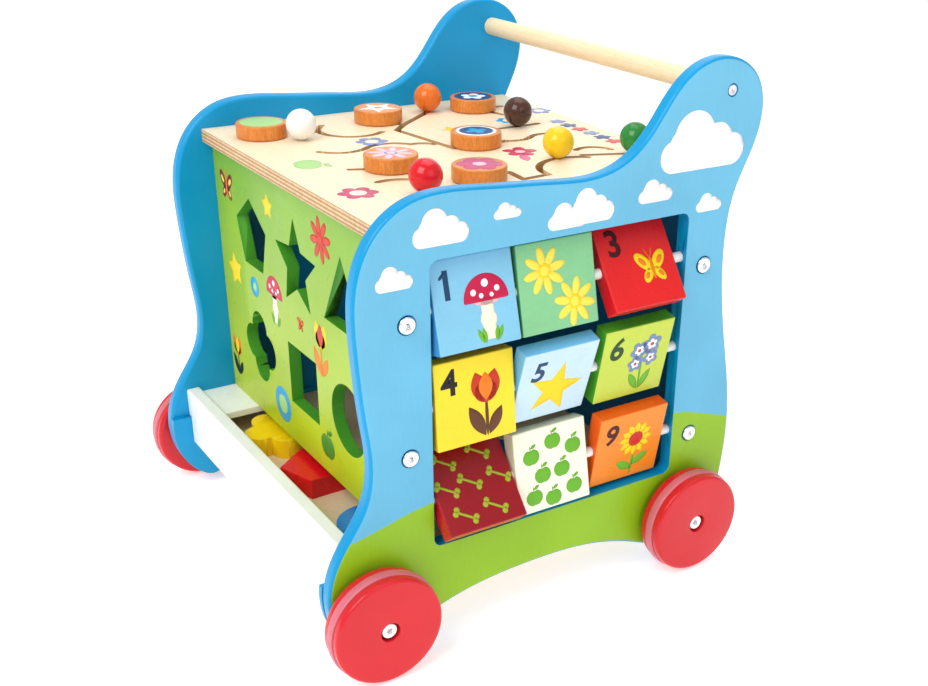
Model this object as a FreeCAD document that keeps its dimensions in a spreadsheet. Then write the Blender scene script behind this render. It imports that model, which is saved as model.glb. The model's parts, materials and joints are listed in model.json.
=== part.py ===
"""Wooden baby walker: two wavy side panels, a bead-and-slot top, flip tiles, a shape sorter and four wheels.

Frame: X runs across the walker (+X is the side with the flip tiles), Y runs from the sorter at the
front (-Y) to the handle at the rear (+Y), Z is up and the floor is Z = 0. Stations along Y are
given from the front axle, and the sheet's front_axle moves them to the model's own origin, which
is the middle of the footprint.
"""
import FreeCAD, Part
import Sketcher
import math
import os
from FreeCAD import Vector

DIMENSIONS = {
    # overall frame
    "inner_half_width": (166.3, "from the middle to a side panel's inner face"),
    "panel_thickness": (13.0, "side panel board"),
    "panel_rounding": (3.5, "rounding of the side panels' long edges"),
    "front_axle": (-154.1, "front axle from the middle of the footprint"),
    "wheelbase": (298.7, "front axle to rear axle"),
    "axle_height": (46.0, "axle above the floor"),
    # flip tile window and tiles
    "window_front": (53.8, "front edge of the window"),
    "window_bottom": (88.3, "lower edge of the window"),
    "window_width": (231.9, "window along Y"),
    "window_height": (230.0, "window along Z"),
    "window_corner": (7.0, "radius of the window's corners"),
    "rod_radius": (3.0, "flip tile rod"),
    "rod_depth": (5.0, "rod axis from the panel's inner face"),
    "rod_seat": (14.0, "length of rod held in the panel at each end"),
    "tile_width": (69.0, "tile along its rod"),
    "front_tiles": (91.5, "middle of the tiles at the window's front edge"),
    "middle_tiles": (163.0, "middle of the middle tiles"),
    "rear_tiles": (240.3, "middle of the tiles at the window's rear edge"),
    "tile_height": (68.5, "tile across its rod"),
    "tile_thickness": (14.0, "tile board"),
    "tile_rounding": (1.2, "rounding of the tiles' edges"),
    "running_gap": (0.06, "radial clearance of a piece that turns on a shaft"),
    "collar_radius": (4.2, "spacing collar on a rod"),
    "collar_gap": (0.25, "end play between a collar and a tile"),
    # shape sorter
    "sorter_front": (30.0, "front face of the sorter panel"),
    "sorter_thickness": (11.0, "sorter panel board"),
    "sorter_bottom": (97.0, "lower edge of the sorter panel"),
    "upper_row": (265.0, "height of the upper row of holes"),
    "lower_row": (163.5, "height of the lower row of holes"),
    "left_column": (-89.5, "middle of the holes nearest -X"),
    "middle_column": (2.0, "middle of the holes in the middle"),
    "right_column": (86.5, "middle of the holes nearest +X"),
    "round_hole_radius": (30.0, "round hole"),
    "block_clearance": (1.5, "how much smaller a block is than its hole, per side"),
    "block_thickness": (18.0, "shape blocks"),
    # top board
    "board_front": (21.8, "front edge of the top board"),
    "board_rear": (332.0, "rear edge of the top board"),
    "board_top": (342.4, "upper face of the top board"),
    "board_thickness": (11.0, "plywood of the top board"),
    "slot_width": (6.0, "slots that guide the sliding beads"),
    "peg_radius": (2.7, "peg under a bead"),
    "bead_gap": (0.4, "air between a bead and the board, above and below"),
    "disc_radius": (21.5, "beech disc"),
    "disc_thickness": (12.0, "beech disc"),
    "ball_radius": (12.8, "coloured ball"),
    "retainer_radius": (8.0, "button under the board"),
    "retainer_thickness": (4.0, "button under the board"),
    # rear panel, tray and rails
    "rear_front": (298.6, "front face of the rear panel"),
    "rear_thickness": (12.0, "rear panel board"),
    "floor_top": (72.0, "upper face of the tray floor"),
    "floor_thickness": (9.0, "tray floor"),
    "tray_front": (-17.8, "front face of the tray's front board"),
    "tray_board_thickness": (12.8, "the tray's front board"),
    "tray_board_bottom": (47.6, "lower edge of the tray's front board"),
    "tray_board_top": (102.0, "upper edge of the tray's front board"),
    "tray_rounding": (2.0, "rounding of the tray's front board"),
    "corner_plate_width": (58.3, "white plate in the tray's corner, along X"),
    "corner_plate_thickness": (6.0, "white plate in the tray's corner"),
    "rail_thickness": (5.0, "rail inside each side panel's foot"),
    "rail_top": (75.5, "upper edge of a rail"),
    # handle
    "handle_station": (319.2, "handle axis"),
    "handle_height": (408.4, "handle axis"),
    "handle_radius": (8.0, "handle bar"),
    # wheels
    "wheel_radius": (44.5, "wooden rim"),
    "wheel_inner": (184.0, "wheel's inner face from the middle"),
    "wheel_outer": (207.3, "wheel's outer face from the middle"),
    "wheel_chamfer": (2.6, "chamfer of the rims"),
    "tyre_groove_depth": (4.0, "groove for the rubber ring"),
    "tyre_width": (8.0, "rubber ring"),
    "tyre_radius": (46.0, "rubber ring, outside"),
    "axle_radius": (4.0, "wheel screw"),
    "counterbore_radius": (8.0, "recess for the wheel screw's head"),
    "counterbore_depth": (6.0, "recess for the wheel screw's head"),
    "screw_head_radius": (6.6, "wheel screw's head"),
    "washer_radius": (9.0, "washer between a wheel and the panel"),
    "side_play": (0.3, "end play of a wheel on each side"),
    # fittings
    "bolt_station_front": (35.0, "bolts into the sorter panel"),
    "bolt_station_rear": (304.6, "bolts into the rear panel"),
    "bolt_radius": (3.0, "panel bolt shank"),
    "bolt_head_radius": (6.6, "panel bolt head"),
    "bolt_head_thickness": (3.2, "panel bolt head"),
    "bolt_recess_radius": (7.6, "recess round a panel bolt's head"),
    "bolt_recess_depth": (1.6, "recess round a panel bolt's head"),
    "bolt_length": (46.0, "panel bolt shank"),
    "handle_screw_head": (4.2, "handle screw's head"),
    "handle_recess_radius": (5.2, "recess round a handle screw's head"),
    "dowel_radius": (4.0, "hidden dowel under the top board"),
    "dowel_length": (26.0, "hidden dowel under the top board"),
    "dowel_in_board": (7.0, "part of a dowel inside the top board"),
}

doc = FreeCAD.newDocument("walker")
sheet = doc.addObject("Spreadsheet::Sheet", "Dims")
for row, (alias, (value, note)) in enumerate(DIMENSIONS.items(), start=1):
    sheet.set("A%d" % row, note)
    sheet.set("B%d" % row, str(value))
    sheet.setAlias("B%d" % row, alias)
doc.recompute()

PARTS = []


def dim(alias):
    """A driving dimension, read from the sheet."""
    return float(getattr(sheet, alias))


def bind(item, **expressions):
    """Bind properties to sheet expressions; a double underscore in a name stands for a dot."""
    for name, expression in expressions.items():
        item.setExpression(name.replace("__", "."), expression)
    return item


def part(item, label):
    """Register an object as a sub-part: its label becomes its file's name."""
    item.Label = label
    PARTS.append(item)
    return item


# ------------------------------------------------------------------ PartDesign helpers
def new_body(label):
    body = doc.addObject("PartDesign::Body", "Body_" + label)
    return part(body, label)


def new_sketch(body, name, plane, offset=None):
    """A sketch on one of the body's own origin planes, lifted along its normal by an expression."""
    sketch = body.newObject("Sketcher::SketchObject", name)
    support = [item for item in body.Origin.OriginFeatures if item.Role == plane][0]
    sketch.AttachmentSupport = [(support, "")]
    sketch.MapMode = "FlatFace"
    if offset:
        sketch.setExpression("AttachmentOffset.Base.z", offset)
    return sketch


def add_feature(body, kind, name, sketch, length, reverse=False, symmetric=False):
    """A Pad or a Pocket of a sketch, its length bound to an expression."""
    before = body.Shape.Volume if body.Tip else 0.0
    feature = body.newObject("PartDesign::" + kind, name)
    feature.Profile = sketch
    feature.Reversed = reverse
    if symmetric:
        feature.SideType = "Symmetric"
    feature.setExpression("Length", length)
    body.Tip = feature
    doc.recompute()
    if kind == "Pocket" and not feature.Shape.Volume < before - 1e-3:
        raise RuntimeError("%s cuts nothing" % name)
    return feature


def round_edges(body, name, picked, radius):
    """Fillet the picked edges of the body's tip, its radius bound to an expression."""
    base = body.Tip
    feature = body.newObject("PartDesign::Fillet", name)
    feature.Base = (base, picked)
    feature.setExpression("Radius", radius)
    body.Tip = feature
    doc.recompute()
    return feature


def edges_where(shape, test):
    """Names of a shape's edges that pass a test."""
    return ["Edge%d" % number for number, edge in enumerate(shape.Edges, start=1) if test(edge)]


def draw_polygon(sketch, points):
    """A closed polygon through (u, v) points."""
    corners = [Vector(u, v, 0) for u, v in points]
    for start, end in zip(corners, corners[1:] + corners[:1]):
        sketch.addGeometry(Part.LineSegment(start, end), False)


def draw_rectangle(sketch, left, bottom, width, height):
    """A rectangle whose corner and sides are bound to expressions, drawn 10 mm square first."""
    draw_polygon(sketch, [(1, 1), (11, 1), (11, 11), (1, 11)])
    for side in range(4):
        sketch.addConstraint(Sketcher.Constraint("Coincident", side, 2, (side + 1) % 4, 1))
    for side, kind in ((0, "Horizontal"), (1, "Vertical"), (2, "Horizontal"), (3, "Vertical")):
        sketch.addConstraint(Sketcher.Constraint(kind, side))
    driven = (
        ("DistanceX", 1.0, left, (-1, 1, 0, 1)),
        ("DistanceY", 1.0, bottom, (-1, 1, 0, 1)),
        ("DistanceX", 10.0, width, (0, 1, 0, 2)),
        ("DistanceY", 10.0, height, (1, 1, 1, 2)),
    )
    for kind, value, expression, places in driven:
        number = sketch.addConstraint(Sketcher.Constraint(kind, *places, value))
        sketch.setExpression("Constraints[%d]" % number, expression)


def draw_circle(sketch, u, v, radius):
    """A circle whose centre and radius are bound to expressions."""
    number = sketch.addGeometry(Part.Circle(Vector(1, 1, 0), Vector(0, 0, 1), 1.0), False)
    driven = (
        (Sketcher.Constraint("Radius", number, 1.0), radius),
        (Sketcher.Constraint("DistanceX", -1, 1, number, 3, 1.0), u),
        (Sketcher.Constraint("DistanceY", -1, 1, number, 3, 1.0), v),
    )
    for constraint, expression in driven:
        index = sketch.addConstraint(constraint)
        sketch.setExpression("Constraints[%d]" % index, expression)


# ------------------------------------------------------------------ Part helpers
def make_box(name, low, high):
    """A Part::Box between two corners given as expressions."""
    box = doc.addObject("Part::Box", name)
    for side, axis, start, end in zip(("Length", "Width", "Height"), "xyz", low, high):
        box.setExpression(side, "(%s) - (%s)" % (end, start))
        box.setExpression("Placement.Base." + axis, start)
    return box


def make_cylinder(name, axis, radius, length, base):
    """A Part::Cylinder along X, Y or Z from a base point given as expressions."""
    turn = {"x": (Vector(0, 1, 0), 90), "y": (Vector(1, 0, 0), -90), "z": (Vector(0, 0, 1), 0)}[axis]
    cylinder = doc.addObject("Part::Cylinder", name)
    cylinder.Placement = FreeCAD.Placement(Vector(0, 0, 0), FreeCAD.Rotation(*turn))
    bind(cylinder, Radius=radius, Height=length)
    for letter, expression in zip("xyz", base):
        cylinder.setExpression("Placement.Base." + letter, expression)
    return cylinder


def cut(name, base, tools):
    """A Part::Cut of a base and one or more tools."""
    tool = tools[0]
    if len(tools) > 1:
        tool = doc.addObject("Part::MultiFuse", name + "_tools")
        tool.Shapes = tools
    result = doc.addObject("Part::Cut", name + "_cut")
    result.Base = base
    result.Tool = tool
    return result


def group(name, members):
    """Separate solids kept side by side in one sub-part."""
    compound = doc.addObject("Part::Compound", name + "_set")
    compound.Links = members
    return compound


# ------------------------------------------------------------------ side panels
# Knots of the side panel's outline, (station from the front axle, height), counter-clockwise from
# the front foot's lowest point: arch, rear foot, back edge, handle lobe, saddle, brow and waist.
OUTLINE = [
    (0, 10.5), (30, 19.5), (62, 32.2), (105, 41), (158, 43.7), (205, 40.3), (250, 27.5), (280, 15.5),
    (304, 11), (325, 18), (339, 37), (346.5, 68), (350, 115), (346.5, 155), (336.5, 205),
    (329, 252), (327.2, 292), (333, 329), (347.5, 361.5), (354, 393), (346, 416.5), (316, 433.5),
    (286, 429), (266, 414), (246, 388), (226, 369), (200, 359.3), (152, 360), (105, 363.6), (70, 366),
    (37, 361), (10, 340.5), (-4, 308), (-5.4, 262), (-0.5, 205), (2.6, 172), (-4, 138),
    (-19, 114), (-33.5, 85), (-35.5, 55), (-27, 30), (-14, 15.5),
]
OUTLINE_SPANS = 8


def draw_outline(sketch):
    """The side panel's outline: a smooth closed spline through its knots, drawn as joined spans."""
    whole = Part.BSplineCurve()
    whole.interpolate([Vector(station, height, 0) for station, height in OUTLINE], PeriodicFlag=True)
    first = whole.FirstParameter
    step = (whole.LastParameter - first) / OUTLINE_SPANS
    for number in range(OUTLINE_SPANS):
        span = whole.copy()
        span.segment(first + step * number, first + step * (number + 1))
        sketch.addGeometry(span, False)


BOLTS = [("bolt_station_front", 275.2), ("bolt_station_front", 170.7),
         ("bolt_station_rear", 272.2), ("bolt_station_rear", 121.0)]


def side_panel(label, base_x, outer_is_high):
    """A side panel: padded outline with rounded edges, holes and head recesses on its outer face."""
    body = new_body(label)
    sketch = new_sketch(body, label + "_outline", "YZ_Plane")
    draw_outline(sketch)
    add_feature(body, "Pad", label + "_board", sketch, "Dims.panel_thickness")
    rims = edges_where(body.Tip.Shape, lambda edge: edge.BoundBox.XLength < 1e-6)
    round_edges(body, label + "_rounding", rims, "Dims.panel_rounding")
    holes = new_sketch(body, label + "_holes", "YZ_Plane")
    for station, height in BOLTS:
        draw_circle(holes, "Dims." + station, "%s" % height, "Dims.bolt_radius")
    for station in ("0.001", "Dims.wheelbase"):
        draw_circle(holes, station, "Dims.axle_height", "Dims.axle_radius")
    draw_circle(holes, "Dims.handle_station", "Dims.handle_height", "2.2")
    add_feature(body, "Pocket", label + "_drilling", holes, "Dims.panel_thickness", reverse=True)
    lift = "Dims.panel_thickness" if outer_is_high else None
    recess = new_sketch(body, label + "_recesses", "YZ_Plane", lift)
    for station, height in BOLTS:
        draw_circle(recess, "Dims." + station, "%s" % height, "Dims.bolt_recess_radius")
    draw_circle(recess, "Dims.handle_station", "Dims.handle_height", "Dims.handle_recess_radius")
    add_feature(body, "Pocket", label + "_recessing", recess, "Dims.bolt_recess_depth",
                reverse=not outer_is_high)
    bind(body, Placement__Base__x=base_x, Placement__Base__y="Dims.front_axle")
    return body


def tile_row_height(row):
    """Height of a row of flip tiles, row 0 at the top."""
    return "Dims.window_bottom + Dims.window_height * %s / 6" % (5 - 2 * row)


left_panel = side_panel("left_side_panel", "Dims.inner_half_width", True)
window = new_sketch(left_panel, "window", "YZ_Plane")
draw_rectangle(window, "Dims.window_front", "Dims.window_bottom", "Dims.window_width",
               "Dims.window_height")
add_feature(left_panel, "Pocket", "window_opening", window, "Dims.panel_thickness", reverse=True)


def window_corner(edge):
    """The four edges where the window's sides meet, which run through the board."""
    middle = edge.CenterOfMass
    along_x = abs(edge.BoundBox.XLength - dim("panel_thickness")) < 1e-3
    return along_x and edge.BoundBox.YLength < 1e-3 and 50 < middle.y < 290 and edge.BoundBox.ZLength < 1e-3


round_edges(left_panel, "window_corners", edges_where(left_panel.Tip.Shape, window_corner),
            "Dims.window_corner")
rod_holes = new_sketch(left_panel, "rod_holes", "XZ_Plane", "-(Dims.window_front - Dims.rod_seat)")
for row in range(3):
    draw_circle(rod_holes, "Dims.rod_depth", tile_row_height(row), "Dims.rod_radius")
add_feature(left_panel, "Pocket", "rod_drilling", rod_holes,
            "Dims.window_width + 2 * Dims.rod_seat")
side_panel("right_side_panel", "-Dims.inner_half_width - Dims.panel_thickness", False)


# ------------------------------------------------------------------ rails inside the feet
def base_rail(label, base_x):
    """The foot of the panel's outline again, thinner, cut level above and notched for the tray board."""
    body = new_body(label)
    sketch = new_sketch(body, label + "_outline", "YZ_Plane")
    draw_outline(sketch)
    add_feature(body, "Pad", label + "_board", sketch, "Dims.rail_thickness")
    above = new_sketch(body, label + "_above", "YZ_Plane")
    draw_rectangle(above, "-100", "Dims.rail_top", "600", "500")
    add_feature(body, "Pocket", label + "_levelling", above, "Dims.rail_thickness", reverse=True)
    notch = new_sketch(body, label + "_notch", "YZ_Plane")
    draw_rectangle(notch, "Dims.tray_front", "Dims.tray_board_bottom", "Dims.tray_board_thickness",
                   "100")
    add_feature(body, "Pocket", label + "_notching", notch, "Dims.rail_thickness", reverse=True)
    holes = new_sketch(body, label + "_holes", "YZ_Plane")
    for station in ("0.001", "Dims.wheelbase"):
        draw_circle(holes, station, "Dims.axle_height", "Dims.axle_radius")
    add_feature(body, "Pocket", label + "_drilling", holes, "Dims.rail_thickness", reverse=True)
    bind(body, Placement__Base__x=base_x, Placement__Base__y="Dims.front_axle")


base_rail("left_base_rail", "Dims.inner_half_width - Dims.rail_thickness")
base_rail("right_base_rail", "-Dims.inner_half_width")


# ------------------------------------------------------------------ sorter panel and its blocks
def regular_points(count, radius, turn=90.0, inner=None):
    """Corners of a regular polygon, or of a star when an inner radius is given."""
    radii = [radius] if inner is None else [radius, inner]
    total = count * len(radii)
    corners = []
    for number in range(total):
        angle = math.radians(turn + 360.0 * number / total)
        reach = radii[number % len(radii)]
        corners.append((reach * math.cos(angle), reach * math.sin(angle)))
    return corners


def draw_shape(sketch, kind, centre, shrink):
    """One of the sorter's six shapes about a centre, smaller by shrink on every side."""
    cu, cv = centre
    if kind == "pentagon":
        points = regular_points(5, 33.6 - shrink * 1.24)
    elif kind == "star":
        points = regular_points(5, 40.7 - shrink * 2.0, inner=18.6 - shrink * 1.2)
    elif kind == "triangle":
        points = [(u, v - 6) for u, v in regular_points(3, 40.0 - shrink * 2.0)]
    elif kind == "square":
        half = 28.0 - shrink
        points = [(-half, -half), (half, -half), (half, half), (-half, half)]
    if kind == "clover":
        draw_clover(sketch, cu, cv, 16.0 - shrink, 17.0)
    elif kind == "disc":
        radius = dim("round_hole_radius") - shrink
        sketch.addGeometry(Part.Circle(Vector(cu, cv, 0), Vector(0, 0, 1), radius), False)
    else:
        draw_polygon(sketch, [(cu + u, cv + v) for u, v in points])


def draw_clover(sketch, cu, cv, lobe, reach):
    """Four round lobes on the axes, each an arc between the diagonals where it meets the next lobe."""
    meet = reach / 2 + math.sqrt(lobe * lobe / 2 - reach * reach / 4)
    spread = math.degrees(math.atan2(meet, meet - reach))
    for quarter in range(4):
        heading = 90.0 * quarter
        middle = Vector(cu + reach * math.cos(math.radians(heading)),
                        cv + reach * math.sin(math.radians(heading)), 0)
        circle = Part.Circle(middle, Vector(0, 0, 1), lobe)
        start = math.radians(heading - spread)
        end = math.radians(heading + spread)
        sketch.addGeometry(Part.ArcOfCircle(circle, start, end), False)


SHAPES = [
    # shape, column, row, block's place (x, station), turn of the block about Z
    ("pentagon", "left_column", "upper_row", (10.0, 34.0), 20.0),
    ("star", "middle_column", "upper_row", (-110.0, 180.0), 12.0),
    ("triangle", "right_column", "upper_row", (-5.0, 185.0), -20.0),
    ("clover", "left_column", "lower_row", (-72.0, 32.0), 8.0),
    ("square", "middle_column", "lower_row", (90.0, 180.0), 25.0),
    ("disc", "right_column", "lower_row", (122.0, 30.0), 0.0),
]

sorter = new_body("sorter_panel")
face = new_sketch(sorter, "sorter_face", "XZ_Plane")
draw_rectangle(face, "-Dims.inner_half_width", "Dims.sorter_bottom", "2 * Dims.inner_half_width",
               "Dims.board_top - Dims.board_thickness - Dims.sorter_bottom")
add_feature(sorter, "Pad", "sorter_board", face, "Dims.sorter_thickness", reverse=True)
for kind, column, row, place, turn in SHAPES:
    opening = new_sketch(sorter, kind + "_outline", "XZ_Plane")
    if kind == "disc":
        draw_circle(opening, "Dims." + column, "Dims." + row, "Dims.round_hole_radius")
    else:
        draw_shape(opening, kind, (dim(column), dim(row)), 0.0)
    add_feature(sorter, "Pocket", kind + "_hole", opening, "Dims.sorter_thickness")
bind(sorter, Placement__Base__y="Dims.front_axle + Dims.sorter_front")

for kind, column, row, place, turn in SHAPES:
    block = new_body(kind + "_block")
    outline = new_sketch(block, kind + "_block_outline", "XY_Plane")
    draw_shape(outline, kind, (0.0, 0.0), dim("block_clearance"))
    add_feature(block, "Pad", kind + "_block_board", outline, "Dims.block_thickness")
    block.Placement.Rotation = FreeCAD.Rotation(Vector(0, 0, 1), turn)
    bind(block, Placement__Base__x="%s" % place[0],
         Placement__Base__y="Dims.front_axle + %s" % place[1],
         Placement__Base__z="Dims.floor_top")


# ------------------------------------------------------------------ sliding beads and their slots
def disc_bead(label, x, station):
    return {"label": label, "kind": "disc", "x": x, "station": station}


def ball_bead(label, x, station):
    return {"label": label, "kind": "ball", "x": x, "station": station}


BEADS = [
    disc_bead("green_disc", -115.5, 57.0), disc_bead("orange_disc", -117.6, 169.0),
    disc_bead("navy_disc", -120.0, 270.0), disc_bead("blue_flower_disc", 0.5, 200.0),
    disc_bead("pink_ring_disc", 32.0, 103.0), disc_bead("pink_flower_disc", 94.0, 146.0),
    ball_bead("white_ball", -87.0, 81.0), ball_bead("orange_ball", -132.0, 228.0),
    ball_bead("brown_ball", -42.0, 269.5), ball_bead("yellow_ball", 69.5, 236.0),
    ball_bead("red_ball", 105.8, 92.8), ball_bead("green_ball", 87.0, 301.0),
]

STRAIGHT_SLOTS = [
    # start and end of each slot's middle line, (x, station)
    ((-141.0, 57.0), (-115.5, 57.0)),
    ((-87.0, 81.0), (-128.0, 118.0)),
    ((-131.0, 160.2), (-96.0, 183.0)),
    ((-96.0, 183.0), (-132.0, 228.0)),
    ((-96.0, 183.0), (-80.0, 168.0)),
    ((-80.0, 168.0), (0.5, 179.0)),
    ((-120.0, 256.0), (-120.0, 301.0)),
    ((-120.0, 276.0), (-88.0, 283.0)),
    ((-42.0, 238.0), (-42.0, 291.0)),
    ((0.5, 179.0), (0.5, 230.0)),
    ((19.0, 74.0), (35.0, 110.0)),
    ((95.6, 140.0), (86.0, 178.0)),
    ((86.0, 178.0), (109.0, 176.5)),
    ((109.0, 176.5), (107.0, 201.0)),
    ((71.0, 260.0), (88.0, 303.4)),
]

ARC_SLOTS = [
    # centre (x, station), radius, first and last angle in degrees, counter-clockwise
    ((84.0, 84.0), 23.5, 0.0, 200.0),
    ((104.5, 236.0), 35.0, 138.0, 274.0),
    ((-104.0, 135.0), 29.5, 230.0, 400.0),
    ((-56.0, 99.0), 26.0, -60.0, 40.0),
    ((-16.1, 132.4), 26.0, 125.0, 220.0),
    ((-16.0, 158.0), 14.0, 110.0, 200.0),
    ((-17.0, 243.0), 20.0, -40.0, 45.0),
    ((11.0, 270.6), 19.0, 140.0, 225.0),
    ((68.0, 275.0), 17.0, 95.0, 215.0),
]

board = new_body("top_board")
board_face = new_sketch(board, "board_face", "XY_Plane")
draw_rectangle(board_face, "-Dims.inner_half_width", "Dims.board_front",
               "2 * Dims.inner_half_width", "Dims.board_rear - Dims.board_front")
add_feature(board, "Pad", "board_ply", board_face, "Dims.board_thickness")


def draw_straight_slot(sketch, start, end, half):
    """An obround: two sides and two round ends."""
    first = Vector(start[0], start[1], 0)
    last = Vector(end[0], end[1], 0)
    along = (last - first).normalize()
    side = Vector(-along.y, along.x, 0) * half
    heading = math.atan2(along.y, along.x)
    sketch.addGeometry(Part.LineSegment(first - side, last - side), False)
    round_end = Part.Circle(last, Vector(0, 0, 1), half)
    sketch.addGeometry(Part.ArcOfCircle(round_end, heading - math.pi / 2, heading + math.pi / 2), False)
    sketch.addGeometry(Part.LineSegment(last + side, first + side), False)
    round_start = Part.Circle(first, Vector(0, 0, 1), half)
    sketch.addGeometry(
        Part.ArcOfCircle(round_start, heading + math.pi / 2, heading + 3 * math.pi / 2), False)


def draw_arc_slot(sketch, centre, radius, first, last, half):
    """A curved obround: an outer and an inner arc joined by round ends."""
    middle = Vector(centre[0], centre[1], 0)
    up = Vector(0, 0, 1)
    start = math.radians(first)
    end = math.radians(last)
    sketch.addGeometry(Part.ArcOfCircle(Part.Circle(middle, up, radius + half), start, end), False)
    sketch.addGeometry(Part.ArcOfCircle(Part.Circle(middle, up, radius - half), start, end), False)
    for angle, turn in ((end, 0.0), (start, math.pi)):
        tip = middle + Vector(math.cos(angle), math.sin(angle), 0) * radius
        circle = Part.Circle(tip, up, half)
        sketch.addGeometry(Part.ArcOfCircle(circle, angle + turn, angle + turn + math.pi), False)


for number, (start, end) in enumerate(STRAIGHT_SLOTS, start=1):
    slot = new_sketch(board, "straight_slot_%d" % number, "XY_Plane")
    draw_straight_slot(slot, start, end, dim("slot_width") / 2)
    add_feature(board, "Pocket", "straight_cut_%d" % number, slot, "Dims.board_thickness", reverse=True)
for number, (centre, radius, first, last) in enumerate(ARC_SLOTS, start=1):
    slot = new_sketch(board, "arc_slot_%d" % number, "XY_Plane")
    draw_arc_slot(slot, centre, radius, first, last, dim("slot_width") / 2)
    add_feature(board, "Pocket", "arc_cut_%d" % number, slot, "Dims.board_thickness", reverse=True)
bind(board, Placement__Base__y="Dims.front_axle",
     Placement__Base__z="Dims.board_top - Dims.board_thickness")

for bead in BEADS:
    label = bead["label"]
    spot = ("%s" % bead["x"], "Dims.front_axle + %s" % bead["station"])
    seat = "Dims.board_top + Dims.bead_gap"
    under = "Dims.board_top - Dims.board_thickness - Dims.bead_gap - Dims.retainer_thickness"
    if bead["kind"] == "disc":
        plain = make_cylinder(label + "_disc", "z", "Dims.disc_radius", "Dims.disc_thickness",
                              spot + (seat,))
        doc.recompute()
        knob = doc.addObject("Part::Fillet", label + "_rounded")
        knob.Base = plain
        knob.Edges = [(number, 1.0, 1.0) for number, edge in enumerate(plain.Shape.Edges, start=1)
                      if edge.Closed]
    else:
        knob = doc.addObject("Part::Sphere", label + "_ball")
        bind(knob, Radius="Dims.ball_radius", Placement__Base__x=spot[0], Placement__Base__y=spot[1],
             Placement__Base__z=seat + " + Dims.ball_radius")
    peg = make_cylinder(label + "_peg", "z", "Dims.peg_radius",
                        "Dims.board_thickness + 2 * Dims.bead_gap + Dims.retainer_thickness + 5",
                        spot + (under,))
    button = make_cylinder(label + "_button", "z", "Dims.retainer_radius", "Dims.retainer_thickness",
                           spot + (under,))
    whole = doc.addObject("Part::MultiFuse", label + "_whole")
    whole.Shapes = [knob, peg, button]
    part(whole, label)


# ------------------------------------------------------------------ flip tiles, rods and collars
TILES = [
    # label, row, column, tilt about the rod in degrees (positive tips the top outwards)
    ("tile_one", 0, 0, -15.0), ("tile_two", 0, 1, -12.0), ("tile_three", 0, 2, -35.0),
    ("tile_four", 1, 0, -6.0), ("tile_five", 1, 1, 18.0), ("tile_six", 1, 2, 12.0),
    ("tile_seven", 2, 0, -42.0), ("tile_eight", 2, 1, -11.0), ("tile_nine", 2, 2, 10.5),
]


TILE_STATIONS = ("Dims.front_tiles", "Dims.middle_tiles", "Dims.rear_tiles")


for label, row, column, tilt in TILES:
    tile = new_body(label)
    plan = new_sketch(tile, label + "_plan", "YZ_Plane", "-Dims.tile_thickness / 2")
    draw_rectangle(plan, "-Dims.tile_width / 2", "-Dims.tile_height / 2", "Dims.tile_width",
                   "Dims.tile_height")
    add_feature(tile, "Pad", label + "_board", plan, "Dims.tile_thickness")
    every_edge = edges_where(tile.Tip.Shape, lambda edge: True)
    round_edges(tile, label + "_rounding", every_edge, "Dims.tile_rounding")
    bore = new_sketch(tile, label + "_bore", "XZ_Plane")
    draw_circle(bore, "0.0", "0.0", "Dims.rod_radius + Dims.running_gap")
    add_feature(tile, "Pocket", label + "_drilling", bore, "Dims.tile_width + 2", symmetric=True)
    tile.Placement.Rotation = FreeCAD.Rotation(Vector(0, 1, 0), tilt)
    bind(tile, Placement__Base__x="Dims.inner_half_width + Dims.rod_depth",
         Placement__Base__y="Dims.front_axle + " + TILE_STATIONS[column],
         Placement__Base__z=tile_row_height(row))

rods = []
collars = []
rod_x = "Dims.inner_half_width + Dims.rod_depth"
half_tile = "Dims.tile_width / 2 + Dims.collar_gap"
COLLARS = [
    # first and last station of each collar: window edge, between the tiles, window edge
    ("Dims.window_front", "Dims.front_tiles - (%s)" % half_tile),
    ("Dims.front_tiles + " + half_tile, "Dims.middle_tiles - (%s)" % half_tile),
    ("Dims.middle_tiles + " + half_tile, "Dims.rear_tiles - (%s)" % half_tile),
    ("Dims.rear_tiles + " + half_tile, "Dims.window_front + Dims.window_width"),
]
for row in range(3):
    rods.append(make_cylinder("rod_%d" % row, "y", "Dims.rod_radius",
                              "Dims.window_width + 2 * Dims.rod_seat",
                              (rod_x, "Dims.front_axle + Dims.window_front - Dims.rod_seat",
                               tile_row_height(row))))
    for number, (start, end) in enumerate(COLLARS):
        base = (rod_x, "Dims.front_axle + " + start, tile_row_height(row))
        length = "%s - (%s)" % (end, start)
        sleeve = make_cylinder("sleeve_%d_%d" % (row, number), "y", "Dims.collar_radius", length, base)
        hole = make_cylinder("sleeve_hole_%d_%d" % (row, number), "y", "Dims.rod_radius", length, base)
        collars.append(cut("collar_%d_%d" % (row, number), sleeve, [hole]))
part(group("rods", rods), "tile_rods")
part(group("collars", collars), "rod_collars")

# ------------------------------------------------------------------ rear panel, tray and handle
rear_low = ("-Dims.inner_half_width", "Dims.front_axle + Dims.rear_front",
            "Dims.floor_top - Dims.floor_thickness")
rear_high = ("Dims.inner_half_width", "Dims.front_axle + Dims.rear_front + Dims.rear_thickness",
             "Dims.board_top - Dims.board_thickness")
rear = make_box("rear_board", rear_low, rear_high)
rail_notches = []
for side, low_x, high_x in (("left", "Dims.inner_half_width - Dims.rail_thickness",
                             "Dims.inner_half_width + 1"),
                            ("right", "-Dims.inner_half_width - 1",
                             "-Dims.inner_half_width + Dims.rail_thickness")):
    rail_notches.append(make_box("rear_notch_" + side, (low_x, rear_low[1], "0"),
                                 (high_x, rear_high[1], "Dims.rail_top")))
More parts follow.
